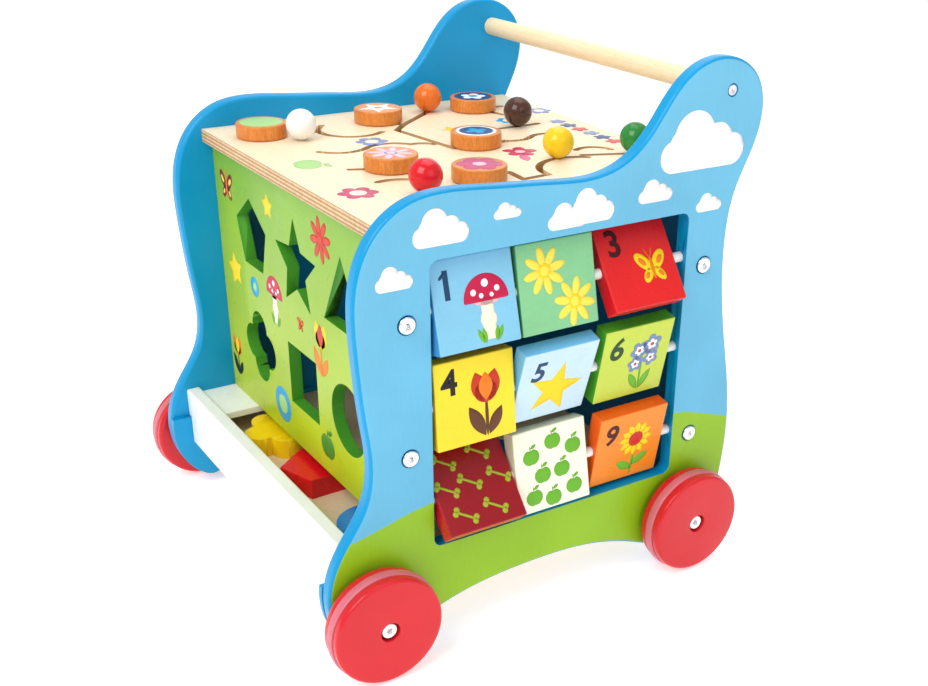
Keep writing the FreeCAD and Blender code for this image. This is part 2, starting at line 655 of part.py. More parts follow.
# The buttons of two beads reach over the rear panel, which has a notch in its upper edge for each.
for number, x in enumerate(bead["x"] for bead in BEADS if bead["label"] in ("navy_disc", "green_ball")):
    button_notch = "Dims.retainer_radius + 3"
    rail_notches.append(make_box("button_notch_%d" % number,
                                 ("%s - (%s)" % (x, button_notch), rear_low[1],
                                  rear_high[2] + " - Dims.retainer_thickness - 3"),
                                 ("%s + %s" % (x, button_notch), rear_high[1], rear_high[2])))
part(cut("rear_panel", rear, rail_notches), "rear_panel")

part(make_box("floor_board",
              ("-Dims.inner_half_width + Dims.rail_thickness",
               "Dims.front_axle + Dims.tray_front + Dims.tray_board_thickness",
               "Dims.floor_top - Dims.floor_thickness"),
              ("Dims.inner_half_width - Dims.rail_thickness",
               "Dims.front_axle + Dims.rear_front", "Dims.floor_top")), "tray_floor")

front_board = make_box("front_board",
                       ("-Dims.inner_half_width", "Dims.front_axle + Dims.tray_front",
                        "Dims.tray_board_bottom"),
                       ("Dims.inner_half_width",
                        "Dims.front_axle + Dims.tray_front + Dims.tray_board_thickness",
                        "Dims.tray_board_top"))
doc.recompute()
front_rounded = doc.addObject("Part::Fillet", "front_board_rounded")
front_rounded.Base = front_board
front_rounded.Edges = [(number, dim("tray_rounding"), dim("tray_rounding"))
                       for number, edge in enumerate(front_board.Shape.Edges, start=1)
                       if edge.BoundBox.XLength > 1]
part(front_rounded, "tray_front_board")

part(make_box("corner_plate_board",
              ("-Dims.inner_half_width",
               "Dims.front_axle + Dims.tray_front + Dims.tray_board_thickness",
               "Dims.sorter_bottom - Dims.corner_plate_thickness"),
              ("-Dims.inner_half_width + Dims.corner_plate_width",
               "Dims.front_axle + Dims.sorter_front + Dims.sorter_thickness",
               "Dims.sorter_bottom")), "tray_corner_plate")

handle_place = ("-Dims.inner_half_width", "Dims.front_axle + Dims.handle_station",
                "Dims.handle_height")
bar = make_cylinder("handle_rod", "x", "Dims.handle_radius", "2 * Dims.inner_half_width", handle_place)

# ------------------------------------------------------------------ wheels
WHEELS = [
    # label, side (+1 is +X), station of the axle
    ("front_left", 1, "0"), ("rear_left", 1, "Dims.wheelbase"),
    ("front_right", -1, "0"), ("rear_right", -1, "Dims.wheelbase"),
]


def wheel_profile():
    """Half section of a wheel, (distance along the axle from the inner face, radius)."""
    width = dim("wheel_outer") - dim("wheel_inner")
    rim = dim("wheel_radius")
    chamfer = dim("wheel_chamfer")
    bore = dim("axle_radius") + dim("running_gap")
    recess = width - dim("counterbore_depth")
    groove_low = width / 2 - dim("tyre_width") / 2
    groove_high = width / 2 + dim("tyre_width") / 2
    groove = rim - dim("tyre_groove_depth")
    return [(0, bore), (recess, bore), (recess, dim("counterbore_radius")),
            (width, dim("counterbore_radius")), (width, rim - chamfer), (width - chamfer, rim),
            (groove_high, rim), (groove_high, groove), (groove_low, groove), (groove_low, rim),
            (chamfer, rim), (0, rim - chamfer)]


def revolve(body, name, sketch):
    feature = body.newObject("PartDesign::Revolution", name)
    feature.Profile = sketch
    feature.ReferenceAxis = (sketch, ["H_Axis"])
    feature.Angle = 360.0
    body.Tip = feature
    return feature


for label, side, station in WHEELS:
    wheel = new_body(label + "_wheel")
    section = new_sketch(wheel, label + "_section", "XY_Plane")
    draw_polygon(section, wheel_profile())
    revolve(wheel, label + "_turning", section)
    tyre = new_body(label + "_tyre")
    ring = new_sketch(tyre, label + "_ring", "XY_Plane")
    middle = (dim("wheel_outer") - dim("wheel_inner")) / 2
    half = dim("tyre_width") / 2
    floor = dim("wheel_radius") - dim("tyre_groove_depth")
    shoulder = dim("wheel_radius") + 0.2
    for start, end in (((middle - half, shoulder), (middle - half, floor)),
                       ((middle - half, floor), (middle + half, floor)),
                       ((middle + half, floor), (middle + half, shoulder))):
        ring.addGeometry(Part.LineSegment(Vector(*start, 0), Vector(*end, 0)), False)
    crown = Part.Arc(Vector(middle + half, shoulder, 0), Vector(middle, dim("tyre_radius"), 0),
                     Vector(middle - half, shoulder, 0))
    ring.addGeometry(crown, False)
    revolve(tyre, label + "_moulding", ring)
    for body in (wheel, tyre):
        if side < 0:
            body.Placement.Rotation = FreeCAD.Rotation(Vector(0, 0, 1), 180)
        bind(body, Placement__Base__x="%d * Dims.wheel_inner" % side,
             Placement__Base__y="Dims.front_axle + " + station,
             Placement__Base__z="Dims.axle_height")


# ------------------------------------------------------------------ screws, bolts and washers
def headed_pin(name, side, face, station, height, head_radius, head_thickness, shank, length, socket):
    """A round head on a shank along X, with a hexagonal socket; face is where the head's top lies."""
    head = Part.makeCylinder(head_radius, head_thickness, Vector(0, 0, 0), Vector(-1, 0, 0))
    rim = [edge for edge in head.Edges if edge.Closed and abs(edge.CenterOfMass.x) < 1e-6]
    head = head.makeFillet(min(1.2, head_thickness / 2.5), rim)
    stem = Part.makeCylinder(shank, length, Vector(-head_thickness, 0, 0), Vector(-1, 0, 0))
    whole = head.fuse(stem).removeSplitter()
    corners = [Vector(1, socket * math.cos(math.radians(60 * k)), socket * math.sin(math.radians(60 * k)))
               for k in range(7)]
    hexagon = Part.Face(Part.makePolygon(corners)).extrude(Vector(-1 - head_thickness * 0.6, 0, 0))
    whole = whole.cut(hexagon)
    if side < 0:
        whole.rotate(Vector(0, 0, 0), Vector(0, 0, 1), 180)
    pin = doc.addObject("Part::Feature", name)
    pin.Shape = whole
    pin.Placement = FreeCAD.Placement(Vector(side * face, dim("front_axle") + station, height),
                                      pin.Placement.Rotation)
    return pin


outer_face = dim("inner_half_width") + dim("panel_thickness")
bolts = []
screws = []
wheel_screws = []
washers = []
for side in (1, -1):
    tag = "left" if side > 0 else "right"
    for number, (station, height) in enumerate(BOLTS):
        face = outer_face - dim("bolt_recess_depth") + dim("bolt_head_thickness")
        bolts.append(headed_pin("bolt_%s_%d" % (tag, number), side, face, dim(station), height,
                                dim("bolt_head_radius"), dim("bolt_head_thickness"),
                                dim("bolt_radius"), dim("bolt_length"), 2.2))
    face = outer_face - dim("bolt_recess_depth") + 1.4
    screws.append(headed_pin("screw_" + tag, side, face, dim("handle_station"),
                             dim("handle_height"), dim("handle_screw_head"), 1.4, 2.2, 45.0, 1.4))
    for axle, station in (("front", 0.0), ("rear", dim("wheelbase"))):
        seat = dim("wheel_outer") - dim("counterbore_depth") + dim("side_play")
        length = seat - dim("inner_half_width") + dim("rail_thickness")
        wheel_screws.append(headed_pin("wheel_screw_%s_%s" % (tag, axle), side, seat + 3.6, station,
                                       dim("axle_height"), dim("screw_head_radius"), 3.6,
                                       dim("axle_radius"), length, 2.4))
        ring_low = outer_face if side > 0 else side * (dim("wheel_inner") - dim("side_play"))
        thickness = dim("wheel_inner") - dim("side_play") - outer_face
        ring_base = ("%s" % ring_low, "Dims.front_axle + %s" % station, "Dims.axle_height")
        disc = make_cylinder("washer_disc_%s_%s" % (tag, axle), "x", "Dims.washer_radius",
                             "%s" % thickness, ring_base)
        hole = make_cylinder("washer_hole_%s_%s" % (tag, axle), "x", "Dims.axle_radius",
                             "%s" % thickness, ring_base)
        washers.append(cut("washer_%s_%s" % (tag, axle), disc, [hole]))
part(group("bolts", bolts), "panel_bolts")
part(group("handle_fixings", screws), "handle_screws")
part(group("wheel_fixings", wheel_screws), "wheel_screws")
part(group("washers", washers), "wheel_washers")

# ------------------------------------------------------------------ drilling for the fittings
doc.recompute()


def drilled(label, drill):
    """Replace a registered sub-part by the same piece with drill's solids removed."""
    source = [item for item in PARTS if item.Label == label][0]
    source.Label = label + "_blank"
    PARTS.remove(source)
    part(cut(label, source, drill), label)


def bolt_holes(name, station):
    """Blind holes for the panel bolts in both ends of a panel."""
    holes = []
    for row, (key, height) in enumerate(BOLTS):
        if key == station:
            for tag, base in (("left", "Dims.inner_half_width - %s" % depth),
                              ("right", "-Dims.inner_half_width")):
                holes.append(make_cylinder("%s_hole_%s_%d" % (name, tag, row), "x",
                                           "Dims.bolt_radius", "%s" % depth,
                                           (base, "Dims.front_axle + Dims." + station,
                                            "%s" % height)))
    return holes


depth = dim("bolt_length") - dim("panel_thickness") + dim("bolt_recess_depth")
dowels = []
dowel_tools = {"sorter_panel": [], "rear_panel": [], "top_board": []}
for panel, station in (("sorter_panel", "Dims.sorter_front + Dims.sorter_thickness / 2"),
                       ("rear_panel", "Dims.rear_front + Dims.rear_thickness / 2")):
    for side, x in (("left", "142"), ("right", "-142")):
        base = (x, "Dims.front_axle + " + station,
                "Dims.board_top - Dims.board_thickness + Dims.dowel_in_board - Dims.dowel_length")
        dowels.append(make_cylinder("dowel_%s_%s" % (panel, side), "z", "Dims.dowel_radius",
                                    "Dims.dowel_length", base))
        for target in (panel, "top_board"):
            dowel_tools[target].append(make_cylinder("socket_%s_%s_%s" % (target, panel, side), "z",
                                                     "Dims.dowel_radius", "Dims.dowel_length", base))
part(group("dowels", dowels), "board_dowels")
drilled("sorter_panel", dowel_tools["sorter_panel"] + bolt_holes("sorter", "bolt_station_front"))
drilled("rear_panel", dowel_tools["rear_panel"] + bolt_holes("rear", "bolt_station_rear"))
drilled("top_board", dowel_tools["top_board"])

screw_depth = 45.0 - dim("panel_thickness") + dim("bolt_recess_depth")
bar_holes = []
for tag, base in (("left", "Dims.inner_half_width - %s" % screw_depth),
                  ("right", "-Dims.inner_half_width")):
    bar_holes.append(make_cylinder("bar_hole_" + tag, "x", "2.2", "%s" % screw_depth,
                                   (base, handle_place[1], handle_place[2])))
part(cut("handle_bar", bar, bar_holes), "handle_bar")

# ------------------------------------------------------------------ checks and export
doc.recompute()
for item in doc.Objects:
    if "Invalid" in item.State or "Error" in item.State:
        raise RuntimeError("%s is %s" % (item.Label, item.State))
labels = [item.Label for item in PARTS]
if len(set(labels)) != len(labels):
    raise RuntimeError("two sub-parts share a label")
for item in PARTS:
    if item.Shape.isNull() or not item.Shape.isValid():
        raise RuntimeError("%s has no valid shape" % item.Label)

os.makedirs("parts", exist_ok=True)
whole_box = FreeCAD.BoundBox()
for item in PARTS:
    item.Shape.exportStep("parts/%s.step" % item.Label)
    whole_box.add(item.Shape.BoundBox)
    print("%-20s %2d solid(s) %9.1f mm3" % (item.Label, len(item.Shape.Solids), item.Shape.Volume))
print("%d sub-parts" % len(PARTS))
print("X %.2f to %.2f" % (whole_box.XMin, whole_box.XMax))
print("Y %.2f to %.2f" % (whole_box.YMin, whole_box.YMax))
print("Z %.2f to %.2f" % (whole_box.ZMin, whole_box.ZMax))
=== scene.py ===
# %% [markdown]
# # A wooden baby walker, finished in Blender
#
# The walker is a box on four wheels that a small child pushes along by its handle. Two wavy blue
# side panels hold everything between them: a green shape sorter in front, a plywood top with
# beads that slide in slots, and a window of nine tiles that flip on rods. The load-bearing shapes
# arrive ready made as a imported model. This lesson adds what the hand of the maker adds: turned
# beads and wheels, rounded edges, paint, lacquer, wood and the printed pictures.

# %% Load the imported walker
import json
import math

import bmesh
import bpy
import numpy as np
from mathutils import Matrix, Vector


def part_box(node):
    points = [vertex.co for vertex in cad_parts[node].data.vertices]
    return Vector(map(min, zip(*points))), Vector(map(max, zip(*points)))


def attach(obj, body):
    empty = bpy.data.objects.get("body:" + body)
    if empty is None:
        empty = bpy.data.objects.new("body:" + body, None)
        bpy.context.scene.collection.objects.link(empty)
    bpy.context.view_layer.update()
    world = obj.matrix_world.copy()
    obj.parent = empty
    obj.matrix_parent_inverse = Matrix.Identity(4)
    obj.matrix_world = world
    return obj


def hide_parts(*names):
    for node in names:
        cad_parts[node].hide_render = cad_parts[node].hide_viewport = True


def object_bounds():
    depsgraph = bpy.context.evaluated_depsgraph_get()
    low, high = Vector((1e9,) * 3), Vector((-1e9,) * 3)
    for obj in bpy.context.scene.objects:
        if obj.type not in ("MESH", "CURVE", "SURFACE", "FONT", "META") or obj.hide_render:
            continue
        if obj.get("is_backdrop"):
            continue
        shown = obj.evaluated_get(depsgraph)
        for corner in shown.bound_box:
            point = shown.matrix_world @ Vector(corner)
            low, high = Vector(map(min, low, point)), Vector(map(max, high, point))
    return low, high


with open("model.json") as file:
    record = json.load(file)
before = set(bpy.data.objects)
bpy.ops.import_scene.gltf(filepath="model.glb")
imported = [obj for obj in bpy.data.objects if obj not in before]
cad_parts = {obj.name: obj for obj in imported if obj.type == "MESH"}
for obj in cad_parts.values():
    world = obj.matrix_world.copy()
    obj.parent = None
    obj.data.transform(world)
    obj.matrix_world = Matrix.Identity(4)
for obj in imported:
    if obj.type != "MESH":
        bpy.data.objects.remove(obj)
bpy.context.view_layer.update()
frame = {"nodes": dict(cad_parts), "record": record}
nodes = frame["nodes"]
MM = 0.001
AXLE_Y = -0.1541

# %% [markdown]
# ## Surfaces as grids
#
# Every new piece is a grid of points worked out in one go with numpy. A grid is an (m, n, 3)
# array: m rows along one direction, n points along the other. Rows that close on themselves, as
# on a wheel, join their last point to their first. Poles are rows of coinciding points, which
# are merged once the piece is made.


# %% Turn grids into a mesh
def grid_faces(rows, columns, start=0):
    """Quads between neighbouring points; the columns run round and close on themselves."""
    index = np.arange(rows * columns).reshape(rows, columns) + start
    onward = np.roll(index, -1, axis=1)
    return np.stack([index[:-1], onward[:-1], onward[1:], index[1:]], axis=-1).reshape(-1, 4)


def make_piece(name, grids, finishes, smooth=35.0):
    """One mesh from several grids; grids is a list of (points, number of the finish it takes)."""
    points, faces, slots, start = [], [], [], 0
    for grid, slot in grids:
        rows, columns = grid.shape[:2]
        quads = grid_faces(rows, columns, start)
        points.append(grid.reshape(-1, 3))
        faces.append(quads)
        slots.append(np.full(len(quads), slot))
        start += rows * columns
    mesh = bpy.data.meshes.new(name)
    mesh.from_pydata(np.concatenate(points).tolist(), [], np.concatenate(faces).tolist())
    for finish in finishes:
        mesh.materials.append(finish)
    mesh.polygons.foreach_set("material_index", np.concatenate(slots).astype(np.int32))
    return finish_mesh(name, mesh, smooth)


def finish_mesh(name, mesh, smooth):
    """Merge doubled points, turn every face outwards and shade smoothly up to an angle."""
    work = bmesh.new()
    work.from_mesh(mesh)
    bmesh.ops.remove_doubles(work, verts=work.verts, dist=2e-7)
    bmesh.ops.dissolve_degenerate(work, edges=work.edges, dist=1e-8)
    bmesh.ops.recalc_face_normals(work, faces=work.faces)
    work.to_mesh(mesh)
    work.free()
    mesh.shade_smooth()
    mesh.set_sharp_from_angle(angle=math.radians(smooth))
    piece = bpy.data.objects.new(name, mesh)
    bpy.context.scene.collection.objects.link(piece)
    return piece


def turned(profile, columns=96):
    """A lathe form: each (height, radius) of the profile goes round in a circle about Z."""
    profile = np.asarray(profile, float)
    angle = np.linspace(0, 2 * np.pi, columns, endpoint=False)
    ring = np.stack([np.cos(angle), np.sin(angle)], axis=-1)
    grid = np.empty((len(profile), columns, 3))
    grid[..., :2] = profile[:, 1, None, None] * ring[None]
    grid[..., 2] = profile[:, 0, None]
    return grid * MM


def eased(corner, before, after, radius, steps=5):
    """A rounded corner: a quadratic arc that leaves each side at radius from the corner."""
    corner, before, after = (np.asarray(p, float) for p in (corner, before, after))
    start = corner + (before - corner) / np.linalg.norm(before - corner) * radius
    end = corner + (after - corner) / np.linalg.norm(after - corner) * radius
    t = np.linspace(0, 1, steps)[:, None]
    return (1 - t) ** 2 * start + 2 * t * (1 - t) * corner + t ** 2 * end


def rounded_profile(points, radii):
    """A profile whose inner corners are eased by the radii given for them; 0 keeps one sharp."""
    out = [np.asarray([points[0]], float)]
    for number in range(1, len(points) - 1):
        if radii[number] > 0:
            out.append(eased(points[number], points[number - 1], points[number + 1], radii[number]))
        else:
            out.append(np.asarray([points[number]], float))
    out.append(np.asarray([points[-1]], float))
    return np.concatenate(out)


# %% [markdown]
# ## Paint, lacquer and bare wood
#
# Painted wood is never one flat colour. A little of the grain telegraphs through, the roller or
# spray leaves a fine orange peel, the gloss varies from place to place, and edges are painted a
# touch lighter, partly as rubbed paint and partly as a painted highlight where they catch the
# light. All of these are built from noise in the piece's own coordinates, so that they
# stay put when the piece turns. A Bevel node rounds the shading of the sawn edges, which catch
# the light on the real thing.


# %% Node helpers
def feed(socket, value):
    """Set an input to a plain value, or join another node's output to it."""
    if isinstance(value, bpy.types.NodeSocket):
        socket.id_data.links.new(value, socket)
    else:
        socket.default_value = value


def new_material(name):
    """An empty material, a function that adds nodes and one that feeds its Principled shader."""
    material = bpy.data.materials.new(name)
    material.use_nodes = True
    tree = material.node_tree

    def add(kind, inputs=None, **settings):
        node = tree.nodes.new("ShaderNode" + kind)
        for key, value in settings.items():
            setattr(node, key, value)
        for key, value in (inputs or {}).items():
            feed(node.inputs[key], value)
        return node

    def join(value, socket):
        feed(tree.nodes["Principled BSDF"].inputs[socket], value)

    return material, add, join


def rgb(red, green, blue):
    """A colour given as it looks on screen, 0 to 255, turned into linear light."""
    value = np.array([red, green, blue]) / 255
    linear = np.where(value <= 0.04045, value / 12.92, ((value + 0.055) / 1.055) ** 2.4)
    return (*linear.tolist(), 1.0)


def tint(colour, share):
    """The same colour with its light cut to a share."""
    return tuple(c * share for c in colour[:3]) + (1.0,)


def mix(add, factor, low, high, blend="MIX"):
    """A colour mix; the factor and both sides are plain values or sockets."""
    return add("Mix", {0: factor, 6: low, 7: high}, data_type="RGBA", blend_type=blend).outputs[2]


def noise(add, vector, scale, detail=4.0, roughness=0.5):
    """Noise at a point: scale is how many swells fit in a metre, detail how many finer layers."""
    node = add("TexNoise", {"Vector": vector, "Scale": scale, "Detail": detail, "Roughness": roughness})
    return node.outputs["Fac"]


def ramp(add, value, low, high, to_low=0.0, to_high=1.0):
    """Rescale a value from low..high to to_low..to_high and keep it inside."""
    node = add("MapRange", {0: value, 1: low, 2: high, 3: to_low, 4: to_high}, clamp=True)
    return node.outputs[0]


def calc(add, operation, a, b=0.0):
    """One step of arithmetic on two values."""
    return add("Math", {0: a, 1: b}, operation=operation).outputs[0]


def stretched(add, scale, turn=(0, 0, 0)):
    """The piece's own coordinates, stretched and turned."""
    coordinates = add("TexCoord").outputs["Object"]
    return add("Mapping", {"Vector": coordinates, "Scale": scale, "Rotation": turn}).outputs[0]


def edge_rub_and_highlight(add, radius):
    """How far a rounded edge turns away from its face, 0 on the flat and 1 on a corner; it places the
    rubbed paint and the painted edge highlight.
    """
    soft = add("Bevel", {"Radius": radius}, samples=6).outputs[0]
    flat = add("NewGeometry").outputs["Normal"]
    turn = add("VectorMath", {0: soft, 1: flat}, operation="DOT_PRODUCT").outputs["Value"]
    return ramp(add, turn, 0.995, 0.8)


def relief(add, join, height, strength, distance=0.0004, soft=0.0, samples=6):
    """Fine bumps from a height; soft is the radius that rounds the shading of sharp edges."""
    inputs = {"Height": height, "Strength": strength, "Distance": distance}
    if soft:
        inputs["Normal"] = add("Bevel", {"Radius": soft}, samples=samples).outputs[0]
    join(add("Bump", inputs).outputs[0], "Normal")


def sheen(join, coat, coat_roughness, mirror):
    """A clear coat, and how much the surface under it mirrors."""
    join(coat, "Coat Weight")
    join(coat_roughness, "Coat Roughness")
    join(mirror, "Specular IOR Level")


# %% Painted wood
def painted(name, colour, grain=(60, 60, 9), gloss=0.32, coat=0.35, soften=0.0008, rub_and_highlight=0.35,
            pattern=None, edge=None):
    """Sprayed paint on wood: colour drift, faint grain, orange peel, and edges lighter from rub and a
    painted highlight.
    """
    material, add, join = new_material(name)
    own = add("TexCoord").outputs["Object"]
    base = pattern(add) if pattern else colour
    drift = ramp(add, noise(add, own, 14.0, 3.0), 0.3, 0.7, 0.94, 1.05)
    fibres = noise(add, stretched(add, grain), 9.0, 6.0, 0.6)
    shade = calc(add, "MULTIPLY", drift, ramp(add, fibres, 0.25, 0.75, 0.965, 1.02))
    grey = add("CombineColor", {0: shade, 1: shade, 2: shade}).outputs[0]
    body = mix(add, 1.0, base, grey, "MULTIPLY")
    # Edges are lightened, partly as rubbed paint and partly as a painted highlight where rounded edges
    # catch the light.
    light = edge if edge else tuple(min(1.0, c * 1.25 + 0.03) for c in colour[:3]) + (1.0,)
    join(mix(add, calc(add, "MULTIPLY", edge_rub_and_highlight(add, soften * 1.6), rub_and_highlight), body, light), "Base Color")
    join(ramp(add, noise(add, own, 55.0, 4.0), 0.3, 0.7, gloss - 0.05, gloss + 0.07), "Roughness")
    peel = noise(add, own, 900.0, 2.0)
    height = calc(add, "ADD", calc(add, "MULTIPLY", peel, 0.35), calc(add, "MULTIPLY", fibres, 0.65))
    relief(add, join, height, 0.12, soft=soften)
    sheen(join, coat * 0.3, 0.1, 0.26)
    return material


# %% [markdown]
# ## The side panels' picture
#
# Both outer faces carry a printed landscape: a pale sky over a green hill in front and one behind.
# The print stops where the edge starts to round, and the edge, the window and the inner face are
# plain blue paint. A mask from the distance to the middle of the walker finds the flat outer
# face, and a curve along the walker gives the hills' height.


# %% Sky and hills
SKY = rgb(98, 180, 216)
PANEL_BLUE = rgb(2, 148, 204)
GRASS = rgb(143, 190, 26)


def landscape(add):
    """Sky above the hills' line, grass below it, on the flat outer faces; panel blue elsewhere."""
    own = add("SeparateXYZ", {0: add("TexCoord").outputs["Object"]})
    along = ramp(add, own.outputs[1], -0.2, 0.2)
    line = add("FloatCurve", {"Value": along})
    curve = line.mapping.curves[0]
    hills = [(-46, 112), (-18, 113.6), (8, 119), (37, 126), (60, 128.5), (170, 120), (286, 144),
             (322, 135), (354, 124)]
    front, length, top = 45.9, 400, 434
    places = [((station + front) / length, height / top) for station, height in hills]
    curve.points[0].location = places[0]
    curve.points[1].location = places[-1]
    for place in places[1:-1]:
        curve.points.new(*place)
    line.mapping.update()
    height = calc(add, "MULTIPLY", line.outputs[0], 0.434)
    above = calc(add, "SUBTRACT", own.outputs[2], height)
    sky_here = ramp(add, above, -0.0004, 0.0004)
    paler = ramp(add, own.outputs[2], 0.1, 0.43)
    sky = mix(add, paler, SKY, rgb(110, 187, 220))
    picture = mix(add, sky_here, GRASS, sky)
    outer = ramp(add, calc(add, "ABSOLUTE", own.outputs[0]), 0.17885, 0.17905)
    return mix(add, outer, PANEL_BLUE, picture)


# The panels' rounded edges are painted a lighter blue, partly as rub and partly as a painted highlight.
panel_paint = painted("panel_blue_paint_mix", PANEL_BLUE, grain=(60, 60, 9), gloss=0.34, coat=0.3,
                      pattern=landscape, rub_and_highlight=0.25, edge=rgb(70, 190, 240))

# %% [markdown]
# ## Birch ply, beech and dowel wood
#
# Wood is solid, so its pattern is too: noise stretched along the grain gives long streaks on the
# faces and specks where the end grain shows. Plywood is a stack of thin veneers with their
# grain crossed in turn, which shows as stripes on every sawn edge. The slots are cut by a hot
# cutter that leaves their walls brown.


# %% Bare woods
def solid_wood(name, pale, dark, scale, gloss=0.42, coat=0.25):
    """Solid wood: slow colour drift, fine streaks along the grain and small dark flecks."""
    material, add, join = new_material(name)
    lie = stretched(add, scale)
    streak = 28.0
    streaks = noise(add, lie, streak, 6.0, 0.62)
    broad = noise(add, lie, streak / 5, 2.0)
    colour = mix(add, ramp(add, streaks, 0.3, 0.72), pale, dark)
    colour = mix(add, ramp(add, broad, 0.35, 0.7, 0.0, 0.5), colour, dark)
    fleck = ramp(add, noise(add, lie, streak * 4, 2.0), 0.66, 0.74, 0.0, 0.45)
    colour = mix(add, fleck, colour, tint(dark, 0.45))
    join(colour, "Base Color")
    join(ramp(add, streaks, 0.2, 0.8, gloss - 0.06, gloss + 0.1), "Roughness")
    relief(add, join, streaks, 0.18, soft=0.0005)
    sheen(join, coat * 0.4, 0.2, 0.3)
    return material


def plywood(name, pale, dark, low, high, layers, slot_box=(), grain=(6, 60, 6)):
    """Plywood between two heights: grained faces, striped edges, brown walls inside slot_box."""
    material, add, join = new_material(name)
    own = add("TexCoord").outputs["Object"]
    lie = stretched(add, grain)
    streaks = noise(add, lie, 26.0, 6.0, 0.6)
    cathedral = noise(add, lie, 3.5, 2.0)
    rings = calc(add, "SINE", calc(add, "MULTIPLY", cathedral, 46.0))
    face = mix(add, ramp(add, streaks, 0.3, 0.75, 0.0, 0.8), pale, dark)
    face = mix(add, ramp(add, rings, 0.2, 1.0, 0.0, 0.22), face, dark)
    place = add("SeparateXYZ", {0: own})
    normal = add("SeparateXYZ", {0: add("NewGeometry").outputs["True Normal"]})
    depth = ramp(add, place.outputs[2], low, high, 0.0, float(layers))
    stripe = ramp(add, calc(add, "PINGPONG", depth, 1.0), 0.42, 0.58)
    edge = mix(add, stripe, rgb(226, 196, 150), rgb(178, 132, 84))
    edge = mix(add, ramp(add, noise(add, own, 320.0, 3.0), 0.4, 0.7, 0.0, 0.4), edge, rgb(150, 104, 62))
    if slot_box:
        inside = []
        for axis, start, end in slot_box:
            inside.append(ramp(add, place.outputs[axis], start - 0.0004, start))
            inside.append(ramp(add, place.outputs[axis], end, end + 0.0004, 1.0, 0.0))
        burnt = inside[0]
        for part in inside[1:]:
            burnt = calc(add, "MULTIPLY", burnt, part)
        edge = mix(add, calc(add, "MULTIPLY", burnt, 0.6), edge, rgb(220, 176, 124))
    flat = ramp(add, calc(add, "ABSOLUTE", normal.outputs[2]), 0.4, 0.6)
    join(mix(add, flat, edge, face), "Base Color")
    join(ramp(add, streaks, 0.2, 0.8, 0.36, 0.5), "Roughness")
    relief(add, join, streaks, 0.15, soft=0.0006)
    sheen(join, 0.1, 0.25, 0.3)
    return material


board_low, board_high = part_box("top_board")
floor_low, floor_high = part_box("tray_floor")
inset = 0.001
board_ply = plywood("birch_ply_board", rgb(250, 236, 208), rgb(232, 205, 160), board_low.z, board_high.z,
                    7, slot_box=[(0, board_low.x + inset, board_high.x - inset),
                                 (1, board_low.y + inset, board_high.y - inset)])
floor_ply = plywood("birch_ply_floor", rgb(244, 222, 184), rgb(224, 192, 146), floor_low.z, floor_high.z,
                    5, grain=(60, 6, 6))
dowel_wood = solid_wood("dowel_wood_grain", rgb(252, 236, 204), rgb(238, 208, 160), (5, 70, 70))
beech = solid_wood("beech_grain", rgb(238, 158, 72), rgb(192, 102, 36), (70, 70, 9), gloss=0.36,
                   coat=0.45)
hardwood = solid_wood("peg_grain", rgb(214, 178, 128), rgb(170, 128, 80), (70, 70, 6))

# %% [markdown]
# ## Rubber, metal and plastic
#
# The tread is a soft pink rubber ring that lets a little light through, so it gets subsurface
# light. The bolts are bright plated steel with fine turning marks, and the rods are drawn steel
# with marks along their length.


# %% Rubber, metal, plastic
def rubber(name, colour):
    """Soft translucent rubber with a fine moulded grain."""
    material, add, join = new_material(name)
    own = add("TexCoord").outputs["Object"]
    join(mix(add, ramp(add, noise(add, own, 35.0), 0.3, 0.7), colour, tint(colour, 0.86)), "Base Color")
    join(ramp(add, noise(add, own, 120.0), 0.3, 0.7, 0.34, 0.5), "Roughness")
    relief(add, join, noise(add, own, 1600.0, 2.0), 0.15, 0.0002)
    join(0.35, "Subsurface Weight")
    join((0.006, 0.003, 0.002), "Subsurface Radius")
    join(0.6, "Subsurface Scale")
    return material


def metal(name, colour, roughness, scale):
    """Bright metal with fine tool marks stretched by scale."""
    material, add, join = new_material(name)
    lines = noise(add, stretched(add, scale), 60.0, 3.0)
    join(mix(add, ramp(add, lines, 0.3, 0.7), colour, tint(colour, 0.8)), "Base Color")
    join(ramp(add, lines, 0.3, 0.7, roughness, roughness + 0.12), "Roughness")
    relief(add, join, lines, 0.12, 0.0002, soft=0.0003, samples=4)
    join(1.0, "Metallic")
    return material


def plastic(name, colour):
    """Moulded plastic with a satin skin."""
    material, add, join = new_material(name)
    own = add("TexCoord").outputs["Object"]
    worn = ramp(add, noise(add, own, 60.0), 0.3, 0.7, 0.0, 0.5)
    join(mix(add, worn, colour, tint(colour, 0.93)), "Base Color")
    join(ramp(add, noise(add, own, 200.0), 0.3, 0.7, 0.3, 0.42), "Roughness")
    relief(add, join, noise(add, own, 1200.0), 0.08, 0.0002)
    return material


tyre_rubber = rubber("pink_rubber_ring", rgb(216, 112, 126))
bright_plate = metal("bright_plate", (0.86, 0.87, 0.89, 1.0), 0.14, (1, 30, 30))
drawn_steel = metal("drawn_steel", (0.7, 0.71, 0.73, 1.0), 0.26, (40, 4, 40))
collar_plastic = plastic("collar_plastic", rgb(240, 240, 236))
washer_plastic = plastic("washer_plastic_mix", rgb(228, 226, 218))
# The wheels' rounded rims are painted a lighter pink-red, partly as rub and partly as a painted highlight.
wheel_red = painted("wheel_red_gloss", rgb(214, 32, 42), grain=(8, 60, 60), gloss=0.2, coat=0.6,
                    rub_and_highlight=0.3, edge=rgb(244, 110, 110))
white_paint = painted("white_paint_mix", rgb(246, 246, 243), grain=(9, 60, 60), rub_and_highlight=0.1)


# %% The sorter's green
def facing_front(add):
    """1 on faces that look towards the front of the walker, 0 elsewhere."""
    normal = add("SeparateXYZ", {0: add("NewGeometry").outputs["True Normal"]})
    return ramp(add, calc(add, "MULTIPLY", normal.outputs[1], -1.0), 0.5, 0.8)


